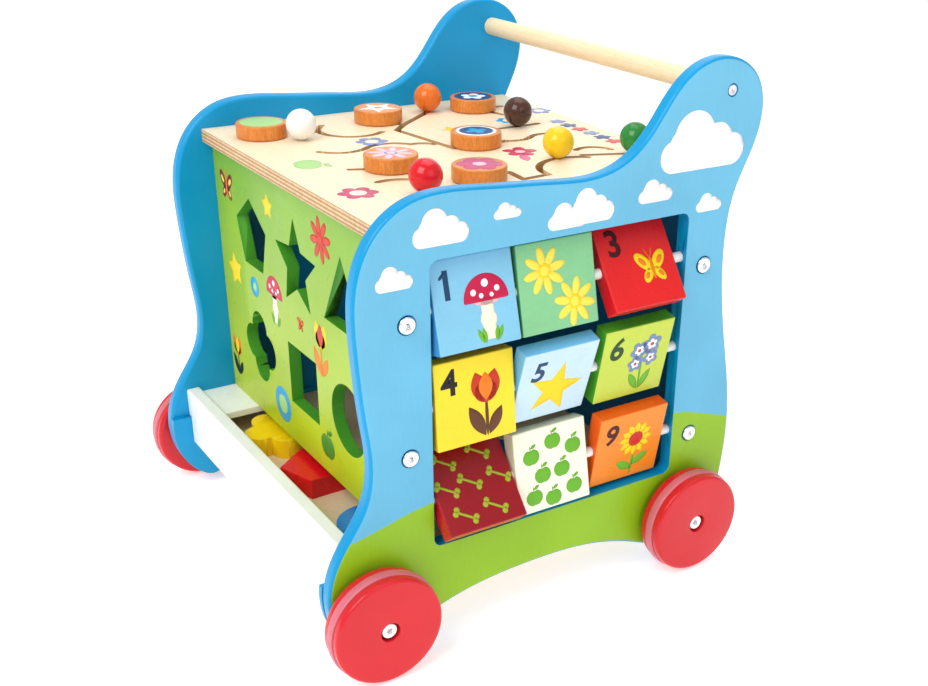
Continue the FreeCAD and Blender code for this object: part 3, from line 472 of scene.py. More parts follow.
def lime(add):
    """Yellow-green front face, darker green towards the top as painted shade under the board and warmer
    yellow low down as a painted glow; deeper green on every sawn wall.
    """
    own = add("TexCoord").outputs["Object"]
    # Painted light: darker green high up stands for the board's shade, yellower low down for a glow.
    low = ramp(add, add("SeparateXYZ", {0: own}).outputs[2], 0.33, 0.12)
    blotch = ramp(add, noise(add, own, 5.0, 2.0), 0.3, 0.7, 0.4, 1.0)
    front = mix(add, calc(add, "MULTIPLY", low, blotch), rgb(122, 174, 30), rgb(206, 218, 36))
    return mix(add, facing_front(add), rgb(74, 156, 44), front)


sorter_green = painted("sorter_lime_paint", rgb(160, 200, 54), grain=(9, 60, 60), gloss=0.3, coat=0.4,
                       pattern=lime, rub_and_highlight=0.0, edge=rgb(196, 222, 90))


def rear_coat(add):
    """Lime on the side that faces the parent, deep blue on the side behind the tiles."""
    return mix(add, facing_front(add), rgb(138, 192, 32), rgb(0, 112, 170))


rear_green = painted("rear_lime_paint", rgb(138, 192, 32), grain=(9, 60, 60), gloss=0.3, coat=0.4,
                     pattern=rear_coat)
print("finishes", len(bpy.data.materials))

# %% [markdown]
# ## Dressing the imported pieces
#
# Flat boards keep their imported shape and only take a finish. Pieces with curved walls are copied
# first: their loose triangles are welded, so that the shading runs smoothly round a curve and
# breaks only at a real corner.


# %% Finish for the boards, welded copies for the curved pieces
def dress(node, finish):
    """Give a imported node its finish."""
    mesh = nodes[node].data
    if not mesh.materials:
        mesh.materials.append(finish)
    for place in range(len(mesh.materials)):
        mesh.materials[place] = finish
    for slot in nodes[node].material_slots:
        slot.material = finish


node_body = {node: body for body, members in frame["record"]["behaviour"]["bodies"].items()
             for node in members}


def settle(piece, body, replaced=None):
    """Attach a piece to the body it rides with, and hide the imported node it stands for."""
    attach(piece, body)
    if replaced:
        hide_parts(replaced)
    return piece


def weld(node, finish, smooth=30.0):
    """A welded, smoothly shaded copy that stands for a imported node; flat faces keep flat light."""
    mesh = nodes[node].data.copy()
    mesh.materials.clear()
    mesh.materials.append(finish)
    work = bmesh.new()
    work.from_mesh(mesh)
    bmesh.ops.remove_doubles(work, verts=work.verts, dist=1e-6)
    work.to_mesh(mesh)
    work.free()
    mesh.polygons.foreach_set("material_index", np.zeros(len(mesh.polygons), np.int32))
    mesh.shade_smooth()
    mesh.set_sharp_from_angle(angle=math.radians(smooth))
    piece = bpy.data.objects.new(node + "_finished", mesh)
    bpy.context.scene.collection.objects.link(piece)
    weighted = piece.modifiers.new("face_weighted", "WEIGHTED_NORMAL")
    weighted.keep_sharp = True
    weighted.weight = 100
    return settle(piece, node_body[node], node)


for node, finish in (("tray_floor", floor_ply), ("tray_corner_plate", white_paint),
                     ("rear_panel", rear_green), ("board_dowels", hardwood)):
    dress(node, finish)
for node, finish in (("left_side_panel", panel_paint), ("right_side_panel", panel_paint),
                     ("left_base_rail", panel_paint), ("right_base_rail", panel_paint),
                     ("sorter_panel", sorter_green), ("top_board", board_ply),
                     ("tray_front_board", white_paint), ("handle_bar", dowel_wood),
                     ("tile_rods", drawn_steel), ("rod_collars", collar_plastic),
                     ("panel_bolts", bright_plate), ("handle_screws", bright_plate),
                     ("wheel_screws", bright_plate), ("wheel_washers", washer_plastic)):
    weld(node, finish)

# %% [markdown]
# ## Turned wheels and their rubber rings
#
# A wheel is turned from a round of wood: flat faces, eased rims, a groove round the tread that the
# rubber ring snaps into, and a stepped bore for the screw's head. One profile carried round the
# axle gives it all.

# %% Wheels and rings
WHEEL_WIDTH, RIM, GROOVE = 23.3, 44.5, 40.5
TREAD = WHEEL_WIDTH / 2
BORE, HEAD_BORE, HEAD_SEAT = 4.06, 8.0, 17.3
WHEEL_INNER_X, AXLE_Z = 0.184, 0.046
WHEELBASE = 298.7


def wheel_grid():
    """Half section of the wheel, from the bore's inner end round the rim and back along the bore."""
    points = [(0, BORE), (0, RIM), (TREAD - 4, RIM), (TREAD - 4, GROOVE), (TREAD + 4, GROOVE),
              (TREAD + 4, RIM), (WHEEL_WIDTH, RIM), (WHEEL_WIDTH, HEAD_BORE), (HEAD_SEAT, HEAD_BORE),
              (HEAD_SEAT, BORE), (0, BORE)]
    return turned(rounded_profile(points, [0, 3.2, 0.7, 0, 0, 0.7, 3.2, 0.8, 0, 0, 0]), 128)


def ring_grid():
    """The rubber ring's section: a flat seat in the groove and a crowned tread."""
    seat = [(TREAD - 3.95, GROOVE), (TREAD + 3.95, GROOVE)]
    t = np.linspace(0, np.pi, 15)
    crown = np.stack([TREAD + 3.95 * np.cos(t), 44.6 + 1.35 * np.sin(t) ** 0.7], axis=-1)
    profile = np.concatenate([seat, crown, seat[:1]])
    return turned(profile, 128)


def lay_on_axle(grid, side, station):
    """Turn a lathe form's own axis from Z to the axle's X, and set it outside the panel."""
    out = np.empty_like(grid)
    out[..., 0] = side * (grid[..., 2] + WHEEL_INNER_X)
    out[..., 1] = grid[..., 0] * side + AXLE_Y + station * MM
    out[..., 2] = grid[..., 1] + AXLE_Z
    return out


for name, side, station in (("front_left", 1, 0.0), ("rear_left", 1, WHEELBASE),
                            ("front_right", -1, 0.0), ("rear_right", -1, WHEELBASE)):
    for part, grid, finish in (("wheel", wheel_grid(), wheel_red), ("tyre", ring_grid(), tyre_rubber)):
        piece = make_piece(name + "_turned_" + part, [(lay_on_axle(grid, side, station), 0)], [finish])
        settle(piece, name + "_wheel_set", name + "_" + part)
print("wheel grid", wheel_grid().shape, "ring grid", ring_grid().shape)

# %% [markdown]
# ## Sliding beads
#
# Each bead is one turned piece: a knob above the board, a thin peg through the slot, and a button
# below that keeps it in. The knobs are beech discs with printed tops, or lacquered balls.

# %% Beads
BOARD_THICK, CLEAR, BUTTON, PEG, BALL = 11, 0.4, 4, 2.7, 12.8


def bead_profile(kind):
    """Profile of knob, peg and button, from the button's underside to the knob's top."""
    low = -BOARD_THICK - CLEAR - BUTTON
    stem = [(low, 0.0), (low, 8.0), (low + BUTTON, 8.0), (low + BUTTON, PEG), (CLEAR, PEG)]
    if kind == "disc":
        points = stem + [(CLEAR, 21.5), (CLEAR + 12, 21.5), (CLEAR + 12, 0.0)]
        return rounded_profile(points, [0, 1.0, 1.0, 0, 0, 1.3, 1.3, 0])
    t = np.linspace(np.pi - math.asin(PEG / BALL), 0, 40)
    ball = np.stack([CLEAR + BALL + BALL * np.cos(t), BALL * np.sin(t)], axis=-1)
    return np.concatenate([rounded_profile(stem, [0, 1.0, 1.0, 0, 0]), ball])


def bead_grid(kind, node):
    """The bead's lathe form, moved over its own peg."""
    low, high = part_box(node)
    grid = turned(bead_profile(kind), 96)
    grid[..., 0] += (low.x + high.x) / 2
    grid[..., 1] += (low.y + high.y) / 2
    grid[..., 2] += board_high.z
    return grid


def lacquer(name, colour):
    """Glossy dipped lacquer over a wooden ball."""
    return painted(name, colour, grain=(50, 50, 10), gloss=0.12, coat=0.9, rub_and_highlight=0.0)


BALLS = {"white_ball": rgb(243, 243, 240), "orange_ball": rgb(226, 112, 30),
         "brown_ball": rgb(74, 44, 34), "yellow_ball": rgb(250, 204, 20),
         "red_ball": rgb(218, 20, 34), "green_ball": rgb(44, 138, 58)}
DISCS = ("green_disc", "orange_disc", "navy_disc", "blue_flower_disc", "pink_ring_disc",
         "pink_flower_disc")
for node, colour in BALLS.items():
    piece = make_piece(node + "_turned", [(bead_grid("ball", node), 0)], [lacquer(node + "_gloss", colour)])
    settle(piece, node + "_body", node)
for node in DISCS:
    piece = make_piece(node + "_turned", [(bead_grid("disc", node), 0)], [beech])
    settle(piece, node + "_body", node)
print("beads", len(BALLS) + len(DISCS))

# %% [markdown]
# ## Tiles and blocks
#
# The tiles and the loose blocks are sawn from board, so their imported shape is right. They get
# their own paint and a soft edge in the shading.

# %% Tiles and blocks
# how far each tile leans in degrees, the colour of its faces and the colour of its sides
TILES = {"tile_one": (-15.0, rgb(132, 196, 226), rgb(66, 150, 206)),
         "tile_two": (-12.0, rgb(134, 200, 144), rgb(84, 158, 100)),
         "tile_three": (-35.0, rgb(226, 30, 32), rgb(214, 20, 34)),
         "tile_four": (-6.0, rgb(254, 222, 44), rgb(240, 190, 24)),
         "tile_five": (18.0, rgb(196, 224, 244), rgb(116, 190, 234)),
         "tile_six": (12.0, rgb(196, 214, 74), rgb(80, 170, 40)),
         "tile_seven": (-42.0, rgb(150, 10, 24), rgb(196, 22, 34)),
         "tile_eight": (-11.0, rgb(252, 252, 228), rgb(240, 240, 210)),
         "tile_nine": (10.5, rgb(248, 140, 36), rgb(240, 96, 22))}


def two_tone(lean, flat_colour, side_colour):
    """A pattern with one colour on a tile's two faces and another on its four sides."""
    lean = math.radians(lean)

    def pattern(add):
        side = add("SeparateXYZ", {0: add("TexCoord").outputs["Normal"]})
        across = calc(add, "ADD", calc(add, "MULTIPLY", side.outputs[0], math.cos(lean)),
                      calc(add, "MULTIPLY", side.outputs[2], -math.sin(lean)))
        flat = ramp(add, calc(add, "ABSOLUTE", across), 0.62, 0.8)
        return mix(add, flat, side_colour, flat_colour)

    return pattern


# The tiles' rounded edges are lightened towards white, partly as rub and partly as a painted highlight.
for node, paint in TILES.items():
    weld(node, painted(node + "_colour", paint[1], grain=(60, 9, 60), gloss=0.28, coat=0.35,
                       soften=0.001, edge=rgb(255, 255, 255), rub_and_highlight=0.12, pattern=two_tone(*paint)))
BLOCK_PAINT = {"clover_block": rgb(255, 212, 10), "pentagon_block": rgb(228, 16, 26),
               "disc_block": rgb(30, 120, 200), "star_block": rgb(238, 120, 24),
               "triangle_block": rgb(70, 160, 50), "square_block": rgb(30, 120, 200)}
# The blocks' rounded edges take a brighter copy of their paint, partly as rub and partly as a painted
# highlight.
for node, colour in BLOCK_PAINT.items():
    weld(node, painted(node + "_colour", colour, grain=(60, 9, 60), gloss=0.25, coat=0.5, soften=0.0016,
                       rub_and_highlight=0.5))
print("tiles and blocks", len(TILES) + len(BLOCK_PAINT))

# %% [markdown]
# ## Printed pictures
#
# The pictures are screen-printed: flat patches of ink a few hundredths of a millimetre thick. Each
# patch is a very thin closed lens that lies on its face, so that it turns with its piece. Its
# outline is worked out by formula, and rings of the same outline run from its middle to its rim,
# drop through the ink's thickness, and run back underneath.


# %% Faces, inks and patches
def face(origin, across, up, out):
    """A flat face to print on: its origin in mm and its three directions."""
    return [np.asarray(v, float) for v in (origin, across, up, out)]


def patch(where, outline, centre=(0.0, 0.0), layer=1, turn=0.0, size=1.0):
    """A lens of ink: rings of the outline shrink to its middle on top and again underneath."""
    origin, across, up, out = where
    c, s = math.cos(math.radians(turn)), math.sin(math.radians(turn))
    flat = np.stack([outline[:, 0] * c - outline[:, 1] * s, outline[:, 0] * s + outline[:, 1] * c], -1)
    share = np.array([0.0, 0.5, 0.97, 1.0, 1.0, 0.0])[:, None, None]
    lift = np.array([1.0, 1.0, 1.0, 0.6, -0.5, -0.5])[:, None] * (0.05 + 0.05 * layer)
    spot = np.asarray(centre, float) + share * flat[None] * size
    grid = origin + spot[..., :1] * across + spot[..., 1:] * up + lift[..., None] * out
    return grid * MM


INK_COLOURS = {
    "white": rgb(250, 250, 248), "cream": rgb(250, 240, 214), "yellow": rgb(252, 212, 20),
    "pale_yellow": rgb(250, 226, 84), "orange": rgb(242, 128, 24), "red": rgb(214, 28, 36),
    "crimson": rgb(200, 24, 72), "brick": rgb(206, 54, 28), "maroon": rgb(128, 20, 28),
    "pink": rgb(222, 104, 144), "pale_pink": rgb(246, 190, 200), "sky": rgb(36, 160, 214),
    "navy": rgb(38, 74, 132), "grey_blue": rgb(122, 142, 188), "leaf": rgb(108, 182, 46),
    "pale_leaf": rgb(164, 212, 132), "olive": rgb(168, 178, 48), "brown": rgb(104, 60, 36),
    "black": rgb(30, 26, 30), "ply": rgb(246, 232, 204), "slate": rgb(30, 66, 104),
    "dark_leaf": rgb(66, 140, 44), "pine": rgb(30, 74, 34), "wine": rgb(74, 8, 16),
    "rose": rgb(196, 74, 116)}
INKS = {}


def ink(name):
    """The screen ink of that name: slightly mottled, satin, a touch rougher than the paint."""
    if name not in INKS:
        INKS[name] = painted("ink_" + name, INK_COLOURS[name], grain=(90, 90, 90), gloss=0.36,
                             coat=0.1, rub_and_highlight=0.0)
    return INKS[name]


def print_piece(name, body, patches):
    """One piece from all the patches on a host; patches is a list of (grid, ink name)."""
    names = sorted({colour for _, colour in patches})
    grids = [(grid, names.index(colour)) for grid, colour in patches]
    piece = make_piece(name, grids, [ink(colour) for colour in names], smooth=60)
    return settle(piece, body)


# %% Outlines
def round_angles(count):
    """Even steps once round."""
    return np.linspace(0, 2 * np.pi, count, endpoint=False)


def polar(reach, count=96):
    """Points at reach(angle) from the middle, counter-clockwise from straight right."""
    angle = round_angles(count)
    return np.stack([reach(angle) * np.cos(angle), reach(angle) * np.sin(angle)], axis=-1)


def oval(wide, high, count=48):
    """An ellipse from its two half sizes."""
    angle = round_angles(count)
    return np.stack([wide * np.cos(angle), high * np.sin(angle)], axis=-1)


def disc(radius, count=48):
    """A circle."""
    return oval(radius, radius, count)


def leaf(long, wide, count=48):
    """A leaf with two points: its width follows the sine of the angle, squared."""
    angle = round_angles(count)
    return np.stack([long * np.cos(angle), wide * np.sin(angle) * np.abs(np.sin(angle))], axis=-1)


def star(outer, inner, points=5, count=100):
    """Straight edges between outer and inner corners: the line between two points in polar form."""
    half = np.pi / points

    def reach(angle):
        folded = np.abs((angle - np.pi / 2 + half) % (2 * half) - half)
        return outer * inner * np.sin(half) / (outer * np.sin(folded) + inner * np.sin(half - folded))

    return polar(reach, count)


def blossom(outer, inner, petals, sharp=0.7, count=128):
    """Petals whose reach rises and falls as the cosine of the petal count, raised to sharp."""
    return polar(lambda a: inner + (outer - inner) * np.abs(np.cos(petals * a / 2)) ** sharp, count)


def union(circles, base=None, bar=None, count=128):
    """The farthest reach of several overlapping circles, cut level at base; bar adds a strip."""

    def reach(angle):
        best = np.zeros_like(angle)
        for x, y, radius in circles:
            distance, heading = math.hypot(x, y), math.atan2(y, x)
            across = distance * np.sin(angle - heading)
            hit = radius ** 2 - across ** 2
            far = distance * np.cos(angle - heading) + np.sqrt(np.maximum(hit, 0.0))
            best = np.maximum(best, np.where(hit > 0, far, 0.0))
        if bar:
            strip = np.minimum(bar[0] / np.maximum(np.abs(np.cos(angle)), 1e-6),
                               bar[1] / np.maximum(np.abs(np.sin(angle)), 1e-6))
            best = np.maximum(best, strip)
        if base is not None:
            down = np.maximum(-np.sin(angle), 1e-6)
            best = np.where(np.sin(angle) < 0, np.minimum(best, base / down), best)
        return best

    return polar(reach, count)


def apple(size):
    """A round fruit with a dent above and a slight one below."""
    return polar(lambda a: size * (1 + 0.07 * np.cos(2 * a) - 0.2 * np.exp(-((a - np.pi / 2) / 0.3) ** 2)
                                   - 0.09 * np.exp(-((a - 1.5 * np.pi) / 0.25) ** 2)), 64)


# %% [markdown]
# Small pictures are put together from a few outlines. Where the real walker shows figures from a
# story, this one has plain garden motifs in the same places and colours: a toadstool, tulips, a
# butterfly, a bunch of blue flowers and a sunflower. Most are tables of outlines with a place
# and a turn, drawn 44 mm high and scaled as a whole.


# %% Pictures
DRAWN_HIGH = 44


def picture(where, at, size, rows):
    """Patches from rows of (outline, x, y, layer, turn, ink), scaled by size about one place."""
    return [(patch(where, outline, (at[0] + x * size, at[1] + y * size), layer, turn, size), colour)
            for outline, x, y, layer, turn, colour in rows]


def daisy(where, at, radius, colour, heart, turn=0.0):
    """Eight separate oval petals round a rimmed heart."""
    out = []
    for number in range(8):
        angle = math.radians(turn + 45 * number)
        spot = (at[0] + math.cos(angle) * radius * 0.62, at[1] + math.sin(angle) * radius * 0.62)
        out.append((patch(where, oval(radius * 0.42, radius * 0.19), spot, 1, turn + 45 * number), colour))
    out.append((patch(where, disc(radius * 0.3), at, 2), heart))
    out.append((patch(where, disc(radius * 0.21), at, 3), colour))
    return out


def cloud(where, at, wide, high, layer=1):
    """Upper edge: the highest of five circles at each place. Lower edge: level, with round ends."""
    x = -41.5 * np.cos(np.linspace(0, np.pi, 97))
    lobes = ((-9, 3.6, 20), (14, -2.5, 15), (-29, -9.5, 12.5), (29, -9.5, 12.5), (-21, -1, 12))
    upper = np.full_like(x, -9.5)
    for cx, cy, radius in lobes:
        reach = radius ** 2 - (x - cx) ** 2
        upper = np.where(reach > 0, np.maximum(upper, cy + np.sqrt(np.maximum(reach, 0))), upper)
    lower = -9.5 - np.sqrt(12.5 ** 2 - np.maximum(np.abs(x) - 29, 0) ** 2)
    share = np.array([0.0, 0.01, 0.5, 0.99, 1.0, 1.0, 0.5, 0.0])
    lift = np.array([0.6, 1.0, 1.0, 1.0, 0.6, -0.5, -0.5, -0.5]) * (0.05 + 0.05 * layer)
    rise = np.where(np.abs(x) < 41.4, 1.0, 0.0)[:, None] * (lift + 0.5 * (0.05 + 0.05 * layer))
    origin, across, up, out = where
    u = at[0] + np.repeat(x[:, None], share.size, axis=1) * wide / 83
    v = at[1] + (lower[:, None] + share * (upper - lower)[:, None] - 0.8) * high / 46
    height = rise - 0.5 * (0.05 + 0.05 * layer)
    return (origin + u[..., None] * across + v[..., None] * up + height[..., None] * out) * MM


def bone(where, at, long, turn, colour):
    """A thin bar with two round knuckles at each end."""
    c, s = math.cos(math.radians(turn)), math.sin(math.radians(turn))
    out = [(patch(where, union([(0, 0, 1.2)], bar=(long * 0.4, long * 0.05)), at, 1, turn), colour)]
    for x, y in ((0.4, 0.09), (0.4, -0.09), (-0.4, 0.09), (-0.4, -0.09)):
        spot = (at[0] + long * (x * c - y * s), at[1] + long * (x * s + y * c))
        out.append((patch(where, disc(long * 0.115, 24), spot, 2), colour))
    return out


def fruit(where, at, size, colour, turn=0.0):
    """An apple with a stalk and a leaf."""
    c, s = math.cos(math.radians(turn)), math.sin(math.radians(turn))

    def spot(x, y):
        return (at[0] + x * c - y * s, at[1] + x * s + y * c)

    return [(patch(where, apple(size), at, 1, turn), colour),
            (patch(where, oval(size * 0.07, size * 0.3, 16), spot(0, size * 1.0), 1, turn), colour),
            (patch(where, leaf(size * 0.42, size * 0.2, 24), spot(size * 0.42, size * 1.15), 1, turn + 25),
             colour)]


def toadstool(where, at, high):
    """A red cap with white spots on a cream stalk, with a tuft of grass."""
    rows = [(union([(0, 0, 6.0)], bar=(4.6, 13)), 0, -9, 1, 0, "cream"),
            (oval(9, 2.2), 0, 2.2, 1, 0, "pale_pink"),
            (union([(0, -2, 16.5)], base=3.0), 0, 5.5, 2, 0, "crimson")]
    rows += [(disc(r, 24), x, y, 3, 0, "white")
             for x, y, r in ((-9, 9, 2.1), (0, 14, 2.6), (8.5, 9.5, 2.0), (-3.5, 6.3, 1.7),
                             (4.2, 6.0, 1.5))]
    rows += [(leaf(5.2, 1.7, 24), x, -19, 2, tilt, "leaf")
             for x, tilt in ((-7, 112), (-4.4, 98), (4.8, 80), (7.4, 66))]
    return picture(where, at, high / DRAWN_HIGH, rows)


def tulip(where, at, high, petal, stalk, inner):
    """A three-lobed bloom on a stalk with two long leaves."""
    return picture(where, at, high / DRAWN_HIGH, [
        (oval(1.1, 12), 0, -8, 1, 0, stalk), (leaf(11, 4.2), -6.4, -10, 1, 118, stalk),
        (leaf(9, 3.6), 5.6, -11.5, 1, 60, stalk), (leaf(9.5, 5.2), -4.2, 10, 2, 104, petal),
        (leaf(9.5, 5.2), 4.2, 10, 2, 76, petal), (oval(7.6, 6.6), 0, 7, 2, 0, petal),
        (leaf(8.4, 4.6), 0, 10, 3, 90, inner)])


def butterfly(where, at, wide, wing, spot_ink, body):
    """Two large upper wings, two small lower wings and a slim body, drawn 30 mm wide."""
    rows = []
    for side in (-1, 1):
        for x, y, long, broad, tilt in ((7.4, 5.6, 9.2, 5.0, 48), (5.6, -5.6, 6.6, 3.9, -52)):
            angle = tilt if side > 0 else 180 - tilt
            rows += [(oval(long, broad), side * x, y, 1, angle, wing),
                     (oval(long * 0.45, broad * 0.42), side * (x + 1), y, 2, angle, spot_ink)]
        rows.append((oval(0.45, 4.2, 16), side * 2.2, 12, 2, -side * 24, body))
    rows.append((oval(1.5, 9.5), 0, 0, 3, 0, body))
    return picture(where, at, wide / 30, rows)


def blue_bunch(where, at, high):
    """A bending stalk with four blue flowers that have white middles and red hearts."""
    rows = [(oval(0.9, 20), -1.0, -3, 1, 4, "leaf"), (leaf(9, 3.0), -5.5, -15, 1, 122, "leaf"),
            (leaf(9, 3.0), 4.5, -15, 1, 62, "leaf")]
    for x, y, r in ((-6.5, 0, 4.6), (6.5, 3, 4.6), (-5, 11, 5.2), (5.5, 14.5, 5.6)):
        rows += [(blossom(r * 1.5, r * 0.9, 5), x, y, 2, 18 * x, "grey_blue"),
                 (blossom(r * 0.8, r * 0.45, 5), x, y, 3, 18 * x, "white"),
                 (disc(r * 0.28, 24), x, y, 4, 0, "red")]
    return picture(where, at, high / DRAWN_HIGH, rows)


def sunflower(where, at, high):
    """Twelve pointed petals round a red heart, on a stalk with leaves."""
    rows = [(oval(1.2, 12), 0, -10, 1, 0, "leaf"), (leaf(8, 3.4), -6.5, -13, 1, 150, "leaf"),
            (leaf(8, 3.4), 6.5, -10, 1, 32, "leaf")]
    for number in range(12):
        angle = math.radians(30 * number)
        rows.append((leaf(5.2, 2.6, 32), math.cos(angle) * 8.6, 8 + math.sin(angle) * 8.6, 2,
                     30 * number, "yellow"))
    rows += [(disc(6.0), 0, 8, 3, 0, "brick"), (disc(3.4), 0, 8, 4, 0, "red")]
    return picture(where, at, high / DRAWN_HIGH, rows)


# %% Digits
DIGIT_THICK = 0.06


def digit(where, figure, at, high, colour, slant=0.0):
    """A bold plain figure, made a mesh before it is laid on its face; the mesh is (points, faces)."""
    curve = bpy.data.curves.new("figure", "FONT")
    curve.body = figure
    curve.size = high * 1.38
    curve.align_x, curve.align_y = "CENTER", "CENTER"
    curve.offset = high * 0.035
    curve.extrude = DIGIT_THICK
    curve.shear = slant
    text = bpy.data.objects.new("figure", curve)
    bpy.context.scene.collection.objects.link(text)
    mesh = bpy.data.meshes.new_from_object(text.evaluated_get(bpy.context.evaluated_depsgraph_get()))
    bpy.data.objects.remove(text)
    flat = np.empty(len(mesh.vertices) * 3)
    mesh.vertices.foreach_get("co", flat)
    flat = flat.reshape(-1, 3)
    flat[:, :2] -= (flat[:, :2].max(0) + flat[:, :2].min(0)) / 2
    flat += (*at, DIGIT_THICK)
    origin, across, up, out = where
    spot = origin + flat[:, :1] * across + flat[:, 1:2] * up + flat[:, 2:] * out
    mesh.vertices.foreach_set("co", (spot * MM).ravel())
    mesh.materials.clear()
    mesh.materials.append(ink(colour))
    return mesh


def print_digit(name, body, mesh):
    """A digit's mesh as a piece that rides with its tile."""
    piece = finish_mesh(name, mesh, 40)
    return settle(piece, body)


# %% [markdown]
# ### Pictures on the flip tiles
#
# A tile rests a little tipped on its rod, each by its own amount. Its face is found from the
# rod's place and that angle: the face stands 7 mm off the rod, and its upward direction leans
# with the tile.

# %% Tile faces and their pictures
TILE_HALF = 7.0


def middle(node):
    """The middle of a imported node's box, in mm."""
    low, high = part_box(node)
    return (np.array(low) + np.array(high)) / 2 / MM


def tile_face(node):
    """The printed face of a tile, turned with the tile about its rod."""
    angle = math.radians(TILES[node][0])
    out = np.array([math.cos(angle), 0.0, -math.sin(angle)])
    up = np.array([math.sin(angle), 0.0, math.cos(angle)])
    return face(middle(node) + out * TILE_HALF, (0, 1, 0), up, out)


def ride_print(node, patches):
    """The picture of a piece that moves, such as a tile or a bead."""
    print_piece(node + "_print", node + "_body", patches)


FACES = {node: tile_face(node) for node in TILES}
for node, figure, at, high, colour, slant in (
        ("tile_one", "1", (-22, 15), 21, "slate", 0.0), ("tile_three", "3", (-19, 19), 21, "wine", 0.0),
        ("tile_four", "4", (-22, 18), 20, "black", 0.0), ("tile_five", "5", (-18, 15), 18, "slate", 0.15),
        ("tile_six", "6", (-20, 16), 20, "pine", 0.1), ("tile_nine", "9", (-20, 16), 19, "wine", 0.1)):
    print_digit(node + "_digit", node + "_body", digit(FACES[node], figure, at, high, colour, slant))
ride_print("tile_one", toadstool(FACES["tile_one"], (9, -4), 50)
           + [(patch(FACES["tile_one"], oval(3.6, 1.25, 24), (-24.8, 21.8), 2, 40), "slate")])
ride_print("tile_two", daisy(FACES["tile_two"], (-11, 12), 18, "pale_yellow", "yellow", 12)
           + daisy(FACES["tile_two"], (14, -15), 18, "pale_yellow", "yellow", 34))
ride_print("tile_three", butterfly(FACES["tile_three"], (11, -5), 30, "yellow", "orange", "orange"))
ride_print("tile_four", tulip(FACES["tile_four"], (9, -4), 58, "brick", "brown", "orange"))
ride_print("tile_five", [(patch(FACES["tile_five"], star(26, 11), (1, -6), 1, -10), "yellow")])
ride_print("tile_six", blue_bunch(FACES["tile_six"], (9, -3), 50))
bones = [(-19, 23), (12, 25), (-24, 2), (-3, 3.5), (23, 3), (-16, -21), (11, -20)]
ride_print("tile_seven", [part for spot in bones
                          for part in bone(FACES["tile_seven"], spot, 21, -32, "olive")])
apples = [(-19, 12), (2, 21), (21, 13), (-9.5, -5), (9, -4), (19.5, -21), (-19, -22), (-1, -26)]
ride_print("tile_eight", [part for spot in apples
                          for part in fruit(FACES["tile_eight"], spot, 7.2, "leaf", 4)])
ride_print("tile_nine", sunflower(FACES["tile_nine"], (6, -4), 54))

# %% [markdown]
# ### Clouds on the side panels
#
# The far panel gets the same sky, seen the other way round.

# %% Clouds
PANEL_FACE = 179.3
CLOUDS = [(294, 374, 83, 46), (63.2, 341.5, 44.5, 27), (117, 345, 23, 12), (169, 333.5, 35, 20),
          (190, 338, 42, 27), (250, 340.5, 33, 18), (304.6, 324, 26, 15), (26.2, 311, 29, 18)]
left_face = face((PANEL_FACE, AXLE_Y / MM, 0), (0, 1, 0), (0, 0, 1), (1, 0, 0))
right_face = face((-PANEL_FACE, AXLE_Y / MM, 0), (0, -1, 0), (0, 0, 1), (-1, 0, 0))
for name, where, side in (("left_side_panel", left_face, 1), ("right_side_panel", right_face, -1)):
    print_piece(name + "_clouds", "chassis",
                [(cloud(where, (side * y, z), wide, high, 1 + (number == 4)), "white")
                 for number, (y, z, wide, high) in enumerate(CLOUDS)])

# %% [markdown]
# ### Garden on the sorter
#
# Flowers, stars, rings, butterflies, a toadstool and an apple fill the green between the holes.

# %% Sorter pictures
sorter_face = face((0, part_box("sorter_panel")[0].y / MM, 0), (1, 0, 0), (0, 0, 1), (0, -1, 0))
garden = butterfly(sorter_face, (-139, 297), 29, "maroon", "pale_yellow", "orange")
garden += [(patch(sorter_face, star(11, 6.2), (-49, 302)), "yellow"),
           (patch(sorter_face, star(16, 9), (-136, 222), 1, 10), "yellow")]
garden += daisy(sorter_face, (53, 302), 18, "brick", "brick", 10)
for x, z, outer, inner in ((-92, 219, 9, 4), (-47, 124, 16.5, 9)):
    garden += [(patch(sorter_face, disc(outer), (x, z), 1), "sky"),
               (patch(sorter_face, disc(inner), (x, z), 2), "pale_leaf")]
garden += toadstool(sorter_face, (-48, 222), 44)
garden += tulip(sorter_face, (42, 208), 52, "yellow", "orange", "brick")
garden += tulip(sorter_face, (-150, 133), 44, "orange", "black", "yellow")
garden += butterfly(sorter_face, (4, 216), 13, "brick", "orange", "brick")
garden += fruit(sorter_face, (44, 122), 12, "dark_leaf")
print_piece("sorter_print", "chassis", garden)

# %% [markdown]
# ### Ink on the ply top and on the beads
#
# The top carries faint flowers, an apple and stars between the slots. Each beech disc has its own
# little picture, which hints at where it belongs.

# %% Top board and disc pictures
top_face = face((0, AXLE_Y / MM, board_high.z / MM), (1, 0, 0), (0, 1, 0), (0, 0, 1))
top = fruit(top_face, (-11, 52), 13, "pale_leaf", -20)
for x, y, outer, colour in ((81, 50, 15.5, "rose"), (-54, 130, 14, "grey_blue"),
                            (-86, 322, 12, "grey_blue"), (-66, 274, 11, "sky")):
    top += [(patch(top_face, blossom(outer, outer * 0.66, 6), (x, y), 1, 15), colour),
            (patch(top_face, disc(outer * 0.42), (x, y), 2), "ply")]
top += [(patch(top_face, star(12, 5.6), (-59, 212), 1, 20), "yellow")]
top += [(patch(top_face, blossom(15, 8, 5, 0.8), (36, 221), 1, 10), "crimson"),
        (patch(top_face, disc(4.4), (36, 221), 2), "pale_pink"),
        (patch(top_face, leaf(12, 4.4), (54, 214), 1, -22), "pink")]
for number, x in enumerate(range(-40, 46, 17)):
    top += [(patch(top_face, blossom(8, 4.6, 5, 0.8, 60), (x, 312), 1, 20 * number),
             ("grey_blue", "navy", "red")[number % 3])]
print_piece("top_board_print", "chassis", top)


